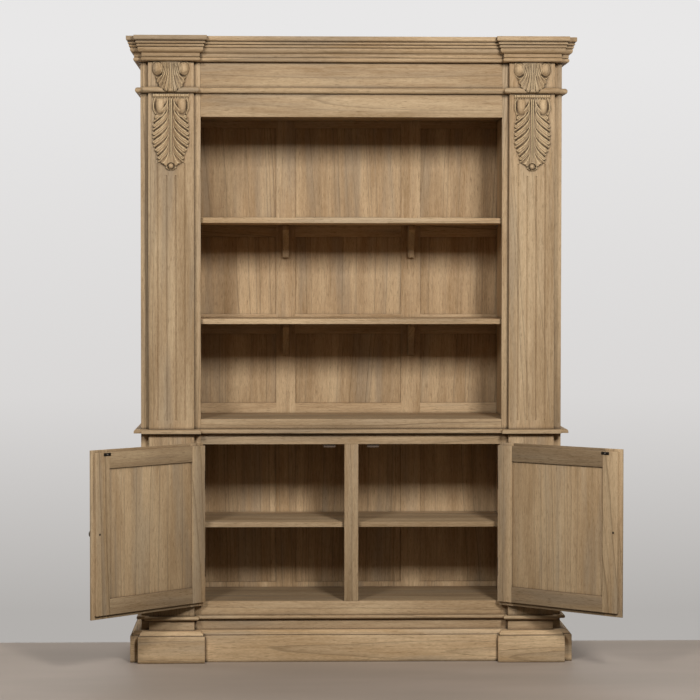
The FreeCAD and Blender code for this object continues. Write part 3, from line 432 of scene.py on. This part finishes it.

# Every plain wooden node: how wide its worn edge is, how it was sawn, how deep its colour is and how much
# wax and painted shade is left in its corners
PLAIN_BOARDS = {
    "base_boards": {"cut": "flat", "wax_and_shade": 1.0, "tone": 0.9},
    "base_bearers": {},
    "plinth_front": {**PLINTH, "tone": 1.42},
    "plinth_sides": {**PLINTH, "tone": 1.2},
    "plinth_blocks": {**PLINTH, "mitred": True, "tone": 1.42},
    "base_board": {"edge": 0.5, "mitred": True, "wax_and_shade": 0.9},
    "cupboard_top_rail": {"wax_and_shade": 0.9},
    "cupboard_bottom_rail": {"tone": 1.1},
    "cupboard_middle_stile": {"tone": 0.95},
    "cupboard_stiles": {"upright": ((0.575, 0.82),)},
    "cupboard_outer_sides": {"cut": "flat", "along": Z},
    "cupboard_floor": {"tone": 0.72},
    "cupboard_linings": {"along": Z},
    "cupboard_divider": {"along": Z},
    "cupboard_shelves": {"tone": 0.94},
    "cupboard_back_frame": {**BACK_FRAME, "along": Z, "tone": 1.1},
    "cupboard_back_panels": {"along": Z, "wax_and_shade": 0.25, "tone": 1.1},
    "cupboard_pilasters": {"edge": 0.8, "wax_and_shade": 0.9},
    "waist_board": {"edge": 0.5, "mitred": True, "wax_and_shade": 0.9, "tone": 0.92},
    "bookcase_sill_rail": {"wax_and_shade": 0.9},
    "bookcase_top_rail": {"cut": "flat", "wax_and_shade": 0.9, "tone": 0.96},
    "bookcase_stiles": {"wax_and_shade": 0.9},
    "frieze_board": {"cut": "flat", "wax_and_shade": 0.9, "tone": 0.95},
    "bookcase_outer_sides": {"cut": "flat"},
    "bookcase_linings": {},
    "bookcase_floor": {"tone": 0.88},
    # The bays' top boards are darker than the rest as painted shade, which deepens the shade at the tops of the
    # bays
    "bookcase_top_boards": {"tone": 0.7},
    "bookcase_shelves": {"tone": 1.26},
    "bookcase_back_frame": {**BACK_FRAME, "tone": 1.08},
    "bookcase_back_panels": {"along": Z, "wax_and_shade": 0.25, "tone": 1.08},
    "shelf_brackets": {"edge": 1.0, "along": Z},
    "pilasters": {"edge": 0.8, "wax_and_shade": 0.9, "tone": 1.05},
    "frieze_bead": {"edge": 0.4, "mitred": True, "wax_and_shade": 0.9},
    "cornice_front": {"edge": 0.4, "wax_and_shade": 0.9, "tone": 1.1},
    "cornice_blocks": {"edge": 0.4, "mitred": True, "wax_and_shade": 0.9, "tone": 1.06},
    "cornice_sides": {"edge": 0.4, "along": Y, "wax_and_shade": 0.9},
}
for side in ("left", "right"):
    PLAIN_BOARDS[f"{side}_door_hinge_stile"] = {"tone": 1.1}
    PLAIN_BOARDS[f"{side}_door_free_stile"] = {"tone": 1.1}
    PLAIN_BOARDS[f"{side}_door_top_rail"] = {"tone": {"left": 0.88, "right": 0.6}[side]}
    PLAIN_BOARDS[f"{side}_door_bottom_rail"] = {"tone": 0.79}
    PLAIN_BOARDS[f"{side}_door_panel"] = {"cut": "quarter", "along": Z, "tone": 1.12}
    PLAIN_BOARDS[f"{side}_door_bead"] = {"edge": 0.5}

for node, how in PLAIN_BOARDS.items():
    dress(node, **how)

# The carved leaves. Places on a leaf are in millimetres: u out from its middle line, w down from its top.
# Heights are in millimetres above the pilaster.

# A leaf has the rows and columns of its net, how far out its middle lies, its greatest height, the place of
# its first tooth and the teeth's depth, its outline as w and the half width there, its veins and how they
# bend, and how far apart they would be outside the first and last of them.
LARGE_LEAF = {
    "node": "large_carvings", "rows": 300, "columns": 144, "middle": 692.0, "relief": 17.0,
    "first_tooth": 88, "teeth": 11.0, "bend": 0.52, "outside": 22,
    "outline": ((0, 69), (12, 70), (15, 66), (22, 66), (34, 70), (58, 70), (72, 64), (81, 60), (92, 63),
                (104, 68), (130, 70.5), (160, 71), (190, 70), (208, 66), (218, 60), (230, 54), (255, 51),
                (264, 47), (267, 28), (274, 26), (282, 21), (288, 14), (292, 5)),
    # w where each vein leaves the rib, u and w where it reaches the edge; every other one parts two leaflets
    "veins": ((4, 62, 84), (22, 64, 98), (41, 66, 113), (58, 68, 129), (75, 70, 145), (92, 70, 161),
              (110, 70, 177), (127, 68, 193), (144, 66, 209), (161, 58, 225), (178, 53, 240), (195, 50, 253),
              (212, 46, 265), (244, 24, 279)),
}
SMALL_LEAF = {
    "node": "small_carvings", "rows": 140, "columns": 150, "middle": 692.0, "relief": 25.0,
    "first_tooth": 70, "teeth": 6.0, "bend": 2.4, "outside": 12,
    "outline": ((0, 64), (8, 69), (30, 72), (48, 68), (60, 59), (68, 54), (82, 54), (88, 45), (94, 46),
                (104, 44), (107, 33), (112, 29), (116, 20), (120, 9)),
    # u where each vein starts at the top, u and w where it reaches the edge
    "veins": ((4, 13, 121), (9.5, 28, 114), (15, 44, 107), (20, 54, 88), (25, 55, 71)),
}

# The ovals on the leaves, as u and w of the middle and the reach both ways. The eyes' lower outer sides are
# cut free of the leaf, measured from an oval of their own.
EYE, EYE_CUT, CURL, DROP = (42, 45, 18, 32), (43, 45, 17, 32), (66.5, 46, 4.4, 17), (0, 276, 12, 12)
VOLUTE, NUB = (50, 29, 21, 27), (0, 111, 9, 7)

# The large leaf's rib: where the veins spring from it, the width of one of its two cords at the top and how
# much of that it loses on the way down, where it starts to fade and where it ends, and what it stands on
RIB_EDGE, CORD_WIDTH, CORD_TAPER, RIB_FADES, RIB_ENDS, RIB_FOOT = 9, 6.4, 3.4, 215, 262, 6.4
# The large leaf's band and the end of the fringe under it
BAND, FRINGE = 13, 21
# The least height of a leaf, and how far its back lies in the pilaster
THINNEST, SUNK = 1.6, 0.5


def inside_oval(u, w, oval):
    """How far inside an oval a place is: 1 at its middle, 0 on its edge, less outside."""
    middle_u, middle_w, reach_u, reach_w = oval
    return 1 - math.hypot((abs(u) - middle_u) / reach_u, (w - middle_w) / reach_w)


def below_oval(side, w, oval, low, high):
    """From 0 on the upper inner side of an oval to 1 on its lower outer side."""
    middle_u, middle_w, reach_u, reach_w = oval
    return smooth_step(low, high, (side - middle_u) / reach_u + (w - middle_w) / reach_w)


def between(pairs, x):
    """A value read off a table of pairs, with straight lines between them."""
    for (x0, y0), (x1, y1) in zip(pairs, pairs[1:]):
        if x <= x1:
            return y0 + (y1 - y0) * max(0.0, x - x0) / (x1 - x0)
    return pairs[-1][1]


def vein_place(marks, x, outside):
    """Which vein a place is on; a number between two veins is a place on a lobe."""
    if x <= marks[0]:
        return (x - marks[0]) / outside
    for i, (low, high) in enumerate(zip(marks, marks[1:])):
        if x <= high:
            return i + (x - low) / max(0.5, high - low)
    return len(marks) - 1 + (x - marks[-1]) / outside


def large_vein(u, w):
    """The veins of the large leaf spring from its rib and run down and out."""
    out = max(0.0, u - RIB_EDGE)
    marks = [start + (end_w - start) * (out / (end_u - RIB_EDGE)) ** LARGE_LEAF["bend"]
             for start, end_u, end_w in LARGE_LEAF["veins"]]
    return vein_place(marks, w, LARGE_LEAF["outside"])


def small_vein(u, w):
    """The veins of the small leaf spring from its top and fan out."""
    marks = [start + (end_u - start) * (w / end_w) ** SMALL_LEAF["bend"]
             for start, end_u, end_w in SMALL_LEAF["veins"]]
    return vein_place(marks, abs(u), SMALL_LEAF["outside"])


def lobe(vein, flutes):
    """The section of a lobe: hollow flutes between thin crests, and a deep cut beside the next lobe."""
    share = vein - math.floor(vein)
    wave = abs(2 * (share * flutes % 1) - 1)
    cut = smooth_step(0.24, 0.0, min(share, 1 - share))
    return wave ** 1.7 + 0.35 * math.sin(math.pi * share) - 1.2 * cut


def egg(height, inside, low, rise, ditch, depth=1.0):
    """Sets an egg into a height: a dome inside its edge, and a ditch round it where it is cut free."""
    foot = height + (low - height) * depth
    if inside > 0:
        return foot + (low + rise - foot) * (1 - (1 - inside) ** 2) ** 0.85
    return height + (foot - height) * smooth_step(-ditch, -0.04, inside)


def leaflet(share):
    """The section of a leaflet: up steeply out of the cut above it, then a long fall to the next cut."""
    return (1.65 * smooth_step(0, 0.2, share) - smooth_step(0.25, 0.82, share)
            - 0.65 * smooth_step(0.86, 1, share) - 0.65)


def large_height(u, w, half):
    """The height of the large leaf at a place, where the leaf is half as wide as given."""
    length = LARGE_LEAF["outline"][-1][0]
    side = abs(u)
    edge = side / half
    height = 7.0 + 2.6 * smooth_step(0.1, 0.5, edge) - 1.4 * smooth_step(0.8, 1.0, edge)
    height -= 2.4 * smooth_step(96, 60, w) * smooth_step(10, 26, side)
    vein = large_vein(side, w)
    free = smooth_step(17, 40, w)
    height += 4.8 * leaflet(vein / 2 % 1) * smooth_step(8, 17, side) * free
    # Fine flutes along each leaflet, and the cut between its two teeth
    height += 2.0 * abs(2 * (vein * 2 % 1) - 1) ** 1.4 * smooth_step(14, 34, side) * free
    height -= 5.0 * math.exp(-(((vein + 1) % 2 - 1) / 0.14) ** 2) * smooth_step(20, 58, side) * free
    # Stems beside the rib, which run down from the band and turn out under the eyes
    stem = math.exp(-((side - 12.5 - 0.04 * (w - 45)) / 3.2) ** 2)
    height += 4.2 * stem * smooth_step(18, 28, w) * smooth_step(92, 62, w)
    # The rib is a pair of thin round cords that runs out near the tip
    rib = CORD_WIDTH - CORD_TAPER * w / length
    if side < rib and w < RIB_ENDS:
        cord = math.sqrt(max(0.0, 1 - ((side - rib / 2) / (rib / 2)) ** 2))
        height = max(height, RIB_FOOT + (2.2 + 4.6 * cord) * smooth_step(RIB_ENDS, RIB_FADES, w))
    # The eyes are eggs, cut free of the leaf on their outer and lower sides; a thin curl stands outside each
    height = egg(height, inside_oval(u, w, EYE), 2.4, 14.6, 0.36, below_oval(side, w, EYE_CUT, -0.5, 0.5))
    curl = inside_oval(u, w, CURL)
    if curl > 0:
        height = max(height, 4.0 + 10.0 * math.sqrt(curl))
    # The band at the top is a worn roll over a short fringe
    if w < BAND:
        worn_off = 0.7 * math.sin(u / 3.1) + 0.5 * math.sin(u / 1.3 + 1)
        roll = math.sqrt(max(0.0, 1 - ((w - BAND / 2) / (BAND / 2)) ** 2))
        height = 5.0 + (7.0 + 1.6 * worn_off) * roll
    elif w < FRINGE:
        fringe = 6.0 + 1.2 * math.cos(u / 1.02) + 1.0 * math.cos(u / 1.7 + 2)
        height = fringe + (height - fringe) * smooth_step(15, FRINGE, w)
    # A drop hangs at the tip
    if w > 240:
        height = egg(height, inside_oval(u, w, DROP), 3.4, 12.6, 0.3)
    return height


def small_height(u, w, half):
    """The height of the small leaf at a place, where the leaf is half as wide as given."""
    side = abs(u)
    edge = side / half
    tip = 0.55 + 0.45 * smooth_step(121, 113, w)
    height = (8.5 + 12.5 * smooth_step(0, 90, w)) * (1 - 0.34 * edge ** 2) * tip
    vein = small_vein(u, w)
    if vein > 0:
        parted = smooth_step(44, 62, w) if vein > 1 else 0
        section = lobe(vein, 1) * (1 - parted) + lobe(vein, 2) * parted
        height += (4.4 - 1.0 * parted) * section * smooth_step(0, 12, w) * tip
    else:
        height += 2.4 * math.cos(side / 6 * math.pi) ** 2 * smooth_step(0, 14, w)
    # The volutes are balls with a turned line round them, cut free on their outer and lower sides
    inside = inside_oval(u, w, VOLUTE)
    height = egg(height, inside, 3.2, 20.5, 0.26, below_oval(side, w, VOLUTE, -0.6, 0.4))
    if inside > 0:
        height -= 1.2 * math.exp(-((inside - 0.3) / 0.07) ** 2)
    nub = inside_oval(u, w, NUB)
    if nub > 0:
        height += 3.0 * math.sqrt(nub)
    return height


def carve(leaf, height_of, vein_of):
    """Both copies of a leaf: a fine net over its outline, raised by its height, closed behind."""
    node = leaf["node"]
    mesh = bmesh.new()
    length = leaf["outline"][-1][0]
    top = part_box(node)[1].z
    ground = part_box("pilasters")[0].y
    for side in (-1, 1):
        dice = random.Random(f"{node} {side}")
        # The chisel's wander, as a few slow waves: height, phase and frequency
        waves = [(dice.uniform(0.05, 0.12), dice.uniform(0, 6.3), dice.uniform(0.15, 0.35)) for _ in range(4)]
        net = []
        for row in range(leaf["rows"] + 1):
            w = length * row / leaf["rows"]
            half = between(leaf["outline"], w)
            if leaf["first_tooth"] < w < length - 8:
                share = vein_of(half - 2, w) % 1
                half -= leaf["teeth"] * (1 - math.sin(math.pi * share) ** 0.6)
            line = []
            for column in range(leaf["columns"] + 1):
                across = -1 + 2 * column / leaf["columns"]
                u = half * across
                height = height_of(u, w, half) + sum(a * math.sin(f * (u + 2 * w) + p) for a, p, f in waves)
                # The leaf falls away at its edge, at its top and at its tip
                rim = (smooth_step(1.0, 0.96, abs(across)) * smooth_step(0, 1.5, w)
                       * smooth_step(length, length - 2, w))
                height = min(leaf["relief"], max(THINNEST, height)) * (0.3 + 0.7 * rim)
                x = (side * leaf["middle"] + u) * MM
                line.append(mesh.verts.new((x, ground - height * MM, top - w * MM)))
            net.append(line)
        for upper, lower in zip(net, net[1:]):
            for i in range(leaf["columns"]):
                mesh.faces.new((upper[i], lower[i], lower[i + 1], upper[i + 1]))
        border = (net[0] + [line[-1] for line in net[1:-1]] + net[-1][::-1]
                  + [line[0] for line in net[-2:0:-1]])
        foot = [mesh.verts.new((vert.co.x, ground + SUNK * MM, vert.co.z)) for vert in border]
        for i in range(len(border)):
            j = (i + 1) % len(border)
            mesh.faces.new((border[i], border[j], foot[j], foot[i]))
        mesh.faces.new(foot)
    bmesh.ops.recalc_face_normals(mesh, faces=mesh.faces)
    write_grain(mesh, BODY_OF[node], node, along=Z, tone=1.0, wax_and_shade=0.8)
    # The high parts are paler than the low ones: rubbing wear, and a painted highlight on the high parts and
    # painted shade in the low ones that shape the domes and ridges
    board = mesh.loops.layers.float_vector["board"]
    for face in mesh.faces:
        for loop in face.loops:
            seed, tone, wax_and_shade = loop[board]
            high = (ground - loop.vert.co.y) / (leaf["relief"] * MM)
            loop[board] = (seed, tone * (0.74 + 0.5 * high), wax_and_shade)
    stands_for(to_object(mesh, f"carved_{node}", "carved_wood", crease=60), node)


carve(LARGE_LEAF, large_height, large_vein)
carve(SMALL_LEAF, small_height, small_vein)

# Metal and plastic fittings


def turned(profile, segments):
    """A shape turned about Z from its outline, radius and height from its top middle to its bottom middle."""
    mesh = bmesh.new()
    rings = []
    for radius, height in profile:
        if radius == 0:
            rings.append([mesh.verts.new((0, 0, height))])
            continue
        angles = [2 * math.pi * i / segments for i in range(segments)]
        rings.append([mesh.verts.new((radius * math.cos(a), radius * math.sin(a), height)) for a in angles])
    for upper, lower in zip(rings, rings[1:]):
        for i in range(segments):
            j = (i + 1) % segments
            corners = [upper[i % len(upper)], lower[i % len(lower)],
                       lower[j % len(lower)], upper[j % len(upper)]]
            # A middle is one corner, not two
            corners = [corner for k, corner in enumerate(corners) if corner not in corners[:k]]
            mesh.faces.new(corners)
    bmesh.ops.recalc_face_normals(mesh, faces=mesh.faces)
    return mesh


# A screw head has radius 1. Its slot's half width, and the depth of the slot and of the head's rim
SLOT_HALF, SLOT_DEPTH = 0.13, 0.2


def slotted_head(rise):
    """A round screw head of radius 1, as high as its rise, with a slot across it."""
    dome = ((0, rise), (0.45, 0.9 * rise), (0.8, 0.55 * rise), (1, 0), (1, -SLOT_DEPTH), (0, -SLOT_DEPTH))
    mesh = turned(dome, 20)
    for y in (-SLOT_HALF, SLOT_HALF):
        bmesh.ops.bisect_plane(mesh, geom=mesh.verts[:] + mesh.edges[:] + mesh.faces[:], plane_co=(0, y, 0),
                               plane_no=(0, 1, 0))
    slot = [f for f in mesh.faces if abs(f.calc_center_median().y) < SLOT_HALF and f.normal.z > 0.02]
    sunk = bmesh.ops.extrude_face_region(mesh, geom=slot)["geom"]
    bmesh.ops.delete(mesh, geom=slot, context="FACES")
    bmesh.ops.translate(mesh, vec=(0, 0, -SLOT_DEPTH),
                        verts=[g for g in sunk if isinstance(g, bmesh.types.BMVert)])
    bmesh.ops.recalc_face_normals(mesh, faces=mesh.faces)
    return mesh


def fittings_tree():
    """Sets one fitting on every place, facing the way the place says and turned at random about itself."""
    tree = bpy.data.node_groups.new("fittings_on_places", "GeometryNodeTree")
    for name, kind in (("Places", "Geometry"), ("Fitting", "Object"), ("Size", "Float"), ("Turn", "Float"),
                       ("Seed", "Int"), ("Finish", "Material")):
        tree.interface.new_socket(name=name, in_out="INPUT", socket_type=f"NodeSocket{kind}")
    tree.interface.new_socket(name="Fittings", in_out="OUTPUT", socket_type="NodeSocketGeometry")
    node = partial(add, tree)
    given = node("NodeGroupInput").outputs
    fitting = node("GeometryNodeObjectInfo", given["Fitting"]).outputs["Geometry"]
    facing = node("GeometryNodeInputNamedAttribute", "facing", data_type="FLOAT_VECTOR")
    aimed = node("FunctionNodeAlignRotationToVector", axis="Z", Vector=facing)
    turn = node("FunctionNodeRandomValue", 0.0, given["Turn"], Seed=given["Seed"], data_type="FLOAT")
    turn = node("FunctionNodeEulerToRotation", node("ShaderNodeCombineXYZ", 0.0, 0.0, turn))
    turned_by = node("FunctionNodeRotateRotation", aimed, turn, rotation_space="LOCAL")
    placed = node("GeometryNodeInstanceOnPoints", given["Places"], Instance=fitting, Rotation=turned_by,
                  Scale=given["Size"])
    finished = node("GeometryNodeRealizeInstances", placed)
    finished = node("GeometryNodeSetMaterial", finished, Material=given["Finish"])
    node("NodeGroupOutput", finished)
    return tree


FITTINGS = fittings_tree()


def fit(name, body, slot, fitting, places, size, seed=3):
    """A piece made of one fitting repeated on places, each a point and the way it faces."""
    points = bpy.data.meshes.new("places")
    points.from_pydata([point for point, _ in places], [], [])
    facing = points.attributes.new("facing", "FLOAT_VECTOR", "POINT")
    facing.data.foreach_set("vector", [c for _, way in places for c in way])
    holder = bpy.data.objects.new("places", points)
    bpy.context.scene.collection.objects.link(holder)
    pattern = to_object(fitting, "pattern", slot)
    modifier = holder.modifiers.new("fittings", "NODES")
    modifier.node_group = FITTINGS
    inputs = {item.name: item.identifier for item in FITTINGS.interface.items_tree if item.in_out == "INPUT"}
    for key, value in (("Fitting", pattern), ("Size", size), ("Turn", 2 * math.pi), ("Seed", seed),
                       ("Finish", FINISHES[slot])):
        modifier[inputs[key]] = value
    graph = bpy.context.evaluated_depsgraph_get()
    data = bpy.data.meshes.new_from_object(holder.evaluated_get(graph), depsgraph=graph)
    holder.modifiers.clear()
    for used in (holder, pattern):
        bpy.data.objects.remove(used)
    data.name = name
    piece = bpy.data.objects.new(name, data)
    bpy.context.scene.collection.objects.link(piece)
    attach(piece, body)
    return piece


def open_places(body, places):
    """Places on a closed door, carried to where the door stands."""
    swing = closed_door(body).inverted()
    return [(swing @ Vector(point), swing.to_3x3() @ Vector(way)) for point, way in places]


# Metal and plastic pieces that keep their CAD shape, with fine worn edges
for node, slot in (("frame_hinge_leaves", "dark_metal"), ("left_door_hinge_leaves", "dark_metal"),
                   ("right_door_hinge_leaves", "dark_metal"), ("hinge_pins", "steel"),
                   ("magnetic_catches", "catch_plastic")):
    mesh = clean_copy(node)
    worn(mesh, 0.25 * MM, 50)
    stands_for(to_object(mesh, f"dressed_{node}", slot), node)

# Shelf pins: turned steel pegs with a round nose and a groove, each where the CAD pin is, its nose away
# from the lining or the divider that holds it. A pin nearer the middle than this is in the divider.
DIVIDER_REACH = 0.3
PIN = ((0, 9.5), (1.2, 9.3), (2.1, 8.6), (2.5, 7.4), (2.5, 3.0), (2.2, 2.6), (2.2, 2.0), (2.5, 1.6),
       (2.5, -9.2), (0, -9.5))
pin_mesh = clean_copy("shelf_pins")
pin_places = []
for faces in islands(pin_mesh):
    low, high = map(Vector, extent([loop.vert.co for face in faces for loop in face.loops]))
    inward = -1 if (low.x + high.x) * (abs(low.x) - DIVIDER_REACH) > 0 else 1
    pin_places.append(((low + high) / 2, (inward, 0, 0)))
pin_mesh.free()
pins = fit("turned_shelf_pins", "cabinet", "steel", turned(PIN, 20), pin_places, MM)
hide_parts("shelf_pins")

# Knobs: a rose with a bead, a waisted stem and a flattened ball, cast and then turned
KNOB = ((0, 35.2), (5.5, 34.5), (10.4, 31.6), (14.0, 27.6), (15.9, 22.8), (16.3, 19.0), (15.5, 14.2),
        (13.0, 10.0), (9.0, 7.4), (6.4, 6.4), (5.5, 5.6), (5.6, 4.2), (7.4, 3.4), (8.6, 3.0), (9.0, 2.2),
        (9.0, 0.0), (0, 0.0))
# The closed doors' front and back, as Y, and the faces of the hinges' leaves, as distances from the middle
DOOR_FACE, DOOR_BACK = -0.2335, -0.2135
DOOR_LEAF, FRAME_LEAF = 0.5788, 0.5792
# The middles of the hinges, and each screw on a leaf: its Y and how far it is above its hinge's middle
HINGE_LEVELS = (0.701, 0.365)
LEAF_SCREWS = ((-0.226, -0.025), (-0.2195, 0.0), (-0.226, 0.025))
# The radius of each screw's head in millimetres, and how high it stands as a share of that
LEAF_HEAD, KNOB_HEAD, STRIKE_HEAD = 3.0, 4.5, 2.8
FLUSH, RAISED = 0.05, 0.17


def leaf_places(x, way):
    """The screws of one door's two hinges, on the leaves at X."""
    return [((x, y, level + step), (way, 0, 0)) for level in HINGE_LEVELS for y, step in LEAF_SCREWS]


for side, sign in (("left", -1), ("right", 1)):
    body = f"{side}_door"
    square = closed_door(body)
    knob_low, knob_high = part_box(f"{side}_door_knob")
    knob_z = (knob_low.z + knob_high.z) / 2
    low, high = extent([square @ vert.co for vert in CAD_NODES[f"{side}_door_knob"].data.vertices])
    knob_x = (low[0] + high[0]) / 2
    knob = fit(f"{side}_turned_knob", body, "dark_metal", turned(KNOB, 40),
               open_places(body, [((knob_x, DOOR_FACE, knob_z), (0, -1, 0))]), MM)
    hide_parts(f"{side}_door_knob")
    strike = clean_copy(f"{side}_door_strike")
    worn(strike, 0.3 * MM, 50)
    low, high = extent([square @ vert.co for vert in strike.verts])
    on_strike = ((low[0] + high[0]) / 2, high[1], (low[2] + high[2]) / 2)
    stands_for(to_object(strike, f"{side}_dressed_strike", "dark_metal"), f"{side}_door_strike")
    strike_screw = fit(f"{side}_strike_screw", body, "steel", slotted_head(FLUSH),
                       open_places(body, [(on_strike, (0, 1, 0))]), STRIKE_HEAD * MM)
    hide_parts(f"{side}_door_strike")
    fit(f"{side}_leaf_screws", body, "dark_metal", slotted_head(FLUSH),
        open_places(body, leaf_places(sign * DOOR_LEAF, sign)), LEAF_HEAD * MM, seed=5)
    knob_screw = fit(f"{side}_knob_screw", body, "dark_metal", slotted_head(RAISED),
                     open_places(body, [((knob_x, DOOR_BACK, knob_z), (0, 1, 0))]), KNOB_HEAD * MM)
    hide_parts(f"{side}_door_knob")
    fit(f"{side}_frame_leaf_screws", "cabinet", "dark_metal", slotted_head(FLUSH),
        leaf_places(sign * FRAME_LEAF, -sign), LEAF_HEAD * MM, seed=7)


# The stage: a pale floor, a pale wall behind the object, two softboxes in front and weaker ones round it

# How far floor and wall reach to each side, where the wall stands and how high it is
REACH, WALL_Y, WALL_HEIGHT = 9, 0.24, 6
# The colours of the wall's painted glow near the floor, at a metre and higher up, darker low down as painted
# shade, and the level at which they no longer change
WALL_GLOW_COLOURS = ("#b2afac", "#d9d7d6", "#e8e7e7")
WALL_FADE = 2.5


def flat_sheet(name, corners, material):
    """One flat face of the room, which isn't part of the object."""
    data = bpy.data.meshes.new(name)
    data.from_pydata(corners, [], [(0, 1, 2, 3)])
    data.materials.append(material)
    sheet = bpy.data.objects.new(name, data)
    bpy.context.scene.collection.objects.link(sheet)


def seen_directly(node, path):
    """1 for what the camera sees, also by way of a mirror or through glass."""
    return node("highest", node("highest", path["Is Camera Ray"], path["Is Glossy Ray"]),
                path["Is Transmission Ray"])


def floor_paint():
    """Matt resin floor: one warm grey with faint broad clouds. It throws less light up than it shows."""
    material, node = new_material("floor_resin")
    place = node("ShaderNodeTexCoord").outputs["Object"]
    clouds = node("noise", node("stretch", place, (0.7, 2.5, 1)), 1.0, 3.0)
    colour = node("mix", node("range", clouds, 0.3, 0.7, 0, 1), linear("#a4978b"), linear("#b1a397"))
    shader = node("ShaderNodeBsdfPrincipled", colour, Roughness=0.55)
    bounced = node("ShaderNodeBsdfDiffuse", linear("#4c463f"))
    path = node("ShaderNodeLightPath")
    both = node("ShaderNodeMixShader", path.outputs["Is Diffuse Ray"], shader, bounced)
    node("ShaderNodeOutputMaterial", both)
    return material


def wall_paint_and_glow():
    """Matt white wall paint, for the light that bounces off it. The camera and mirrors see a painted glow in its
    place, a little darker towards the floor as painted shade; lamps behind it shine through, and from behind it
    isn't there."""
    material, node = new_material("wall_paint_and_glow")
    place = node("ShaderNodeTexCoord").outputs["Object"]
    height = node("ShaderNodeSeparateXYZ", place).outputs["Z"]
    glow = node("ShaderNodeValToRGB", node("over", height, WALL_FADE))
    stops = glow.color_ramp.elements
    stops[0].position, stops[0].color = 0.05, linear(WALL_GLOW_COLOURS[0])
    stops[1].position, stops[1].color = 0.95, linear(WALL_GLOW_COLOURS[2])
    stops.new(0.4).color = linear(WALL_GLOW_COLOURS[1])
    # The wall's painted glow, with painted shade towards the floor
    glow = node("ShaderNodeEmission", glow)
    matt = node("ShaderNodeBsdfDiffuse", linear("#a8a7a5"))
    path = node("ShaderNodeLightPath").outputs
    front = node("ShaderNodeMixShader", seen_directly(node, path), matt, glow)
    back = node("ShaderNodeNewGeometry").outputs["Backfacing"]
    through = node("highest", back, path["Is Shadow Ray"])
    shader = node("ShaderNodeMixShader", through, front, node("ShaderNodeBsdfTransparent"))
    node("ShaderNodeOutputMaterial", shader)
    return material


flat_sheet("floor", [(-REACH, -REACH, 0), (REACH, -REACH, 0), (REACH, REACH, 0), (-REACH, REACH, 0)],
           floor_paint())
flat_sheet("wall", [(-REACH, WALL_Y, 0), (REACH, WALL_Y, 0), (REACH, WALL_Y, WALL_HEIGHT),
                    (-REACH, WALL_Y, WALL_HEIGHT)], wall_paint_and_glow())

# The surroundings: a pale backdrop where they are seen directly, and a faint warm fill otherwise
world = bpy.data.worlds.new("studio")
world.use_nodes = True
bpy.context.scene.world = world
world.node_tree.nodes.clear()
node = partial(add, world.node_tree)
seen = seen_directly(node, node("ShaderNodeLightPath").outputs)
surround = node("ShaderNodeBackground", linear("#e6e6e6"), 0.9)
fill = node("ShaderNodeBackground", linear("#fff6ee"), 0.006)
node("ShaderNodeOutputWorld", node("ShaderNodeMixShader", seen, fill, surround))


LAMP_COLOUR = (1.0, 0.985, 0.965)


def softbox(name, place, target, width, height, power):
    """A rectangular lamp that faces its target and isn't itself in view."""
    lamp = bpy.data.lights.new(name, "AREA")
    lamp.shape = "RECTANGLE"
    lamp.size, lamp.size_y, lamp.energy = width, height, power
    lamp.color = LAMP_COLOUR
    thing = bpy.data.objects.new(name, lamp)
    thing.location = place
    thing.rotation_euler = (Vector(target) - Vector(place)).to_track_quat("-Z", "Y").to_euler()
    thing.visible_camera = False
    bpy.context.scene.collection.objects.link(thing)


# Each lamp's place, its target, its width and height, and its power in watts
softbox("key_left", (-1.97, -5.05, 3.50), (0, -0.2, 1.6), 0.75, 1.07, 112)
softbox("key_right", (1.33, -5.05, 3.50), (0, -0.2, 1.6), 0.75, 1.07, 182)
softbox("behind", (0, 4.5, 2.6), (0, 0.2, 1.2), 2.5, 1.6, 80)
softbox("side_left", (-4.8, 1.6, 2.4), (-0.8, 0, 1.2), 1.6, 1.6, 50)
softbox("side_right", (4.8, 1.6, 2.4), (0.8, 0, 1.2), 1.6, 1.6, 50)

# The camera, as solved from the straight edges in the photograph: its place, the angles it is turned by in
# radians, its focal length and sensor in millimetres, and how many metres off it still sees

CAMERA_PLACE = Vector((-0.2764, -9.3384, 1.4898))
CAMERA_YAW, CAMERA_PITCH, CAMERA_ROLL = 0.0297, 0.0317, 0.0008
CAMERA_LENS, CAMERA_SENSOR = 121.68, 36.0
CAMERA_REACH = 60

level = Vector((math.cos(CAMERA_YAW), -math.sin(CAMERA_YAW), 0))
ahead = Vector((math.sin(CAMERA_YAW), math.cos(CAMERA_YAW), -math.tan(CAMERA_PITCH))).normalized()
upward = level.cross(ahead)
right = level * math.cos(CAMERA_ROLL) + upward * math.sin(CAMERA_ROLL)
top = upward * math.cos(CAMERA_ROLL) - level * math.sin(CAMERA_ROLL)

lens = bpy.data.cameras.new("camera")
lens.lens, lens.sensor_width, lens.sensor_fit = CAMERA_LENS, CAMERA_SENSOR, "HORIZONTAL"
lens.clip_end = CAMERA_REACH
camera = bpy.data.objects.new("camera", lens)
camera.matrix_world = Matrix.Translation(CAMERA_PLACE) @ Matrix((right, top, -ahead)).transposed().to_4x4()
bpy.context.scene.collection.objects.link(camera)
bpy.context.scene.camera = camera
bpy.context.scene.view_settings.view_transform = "Standard"
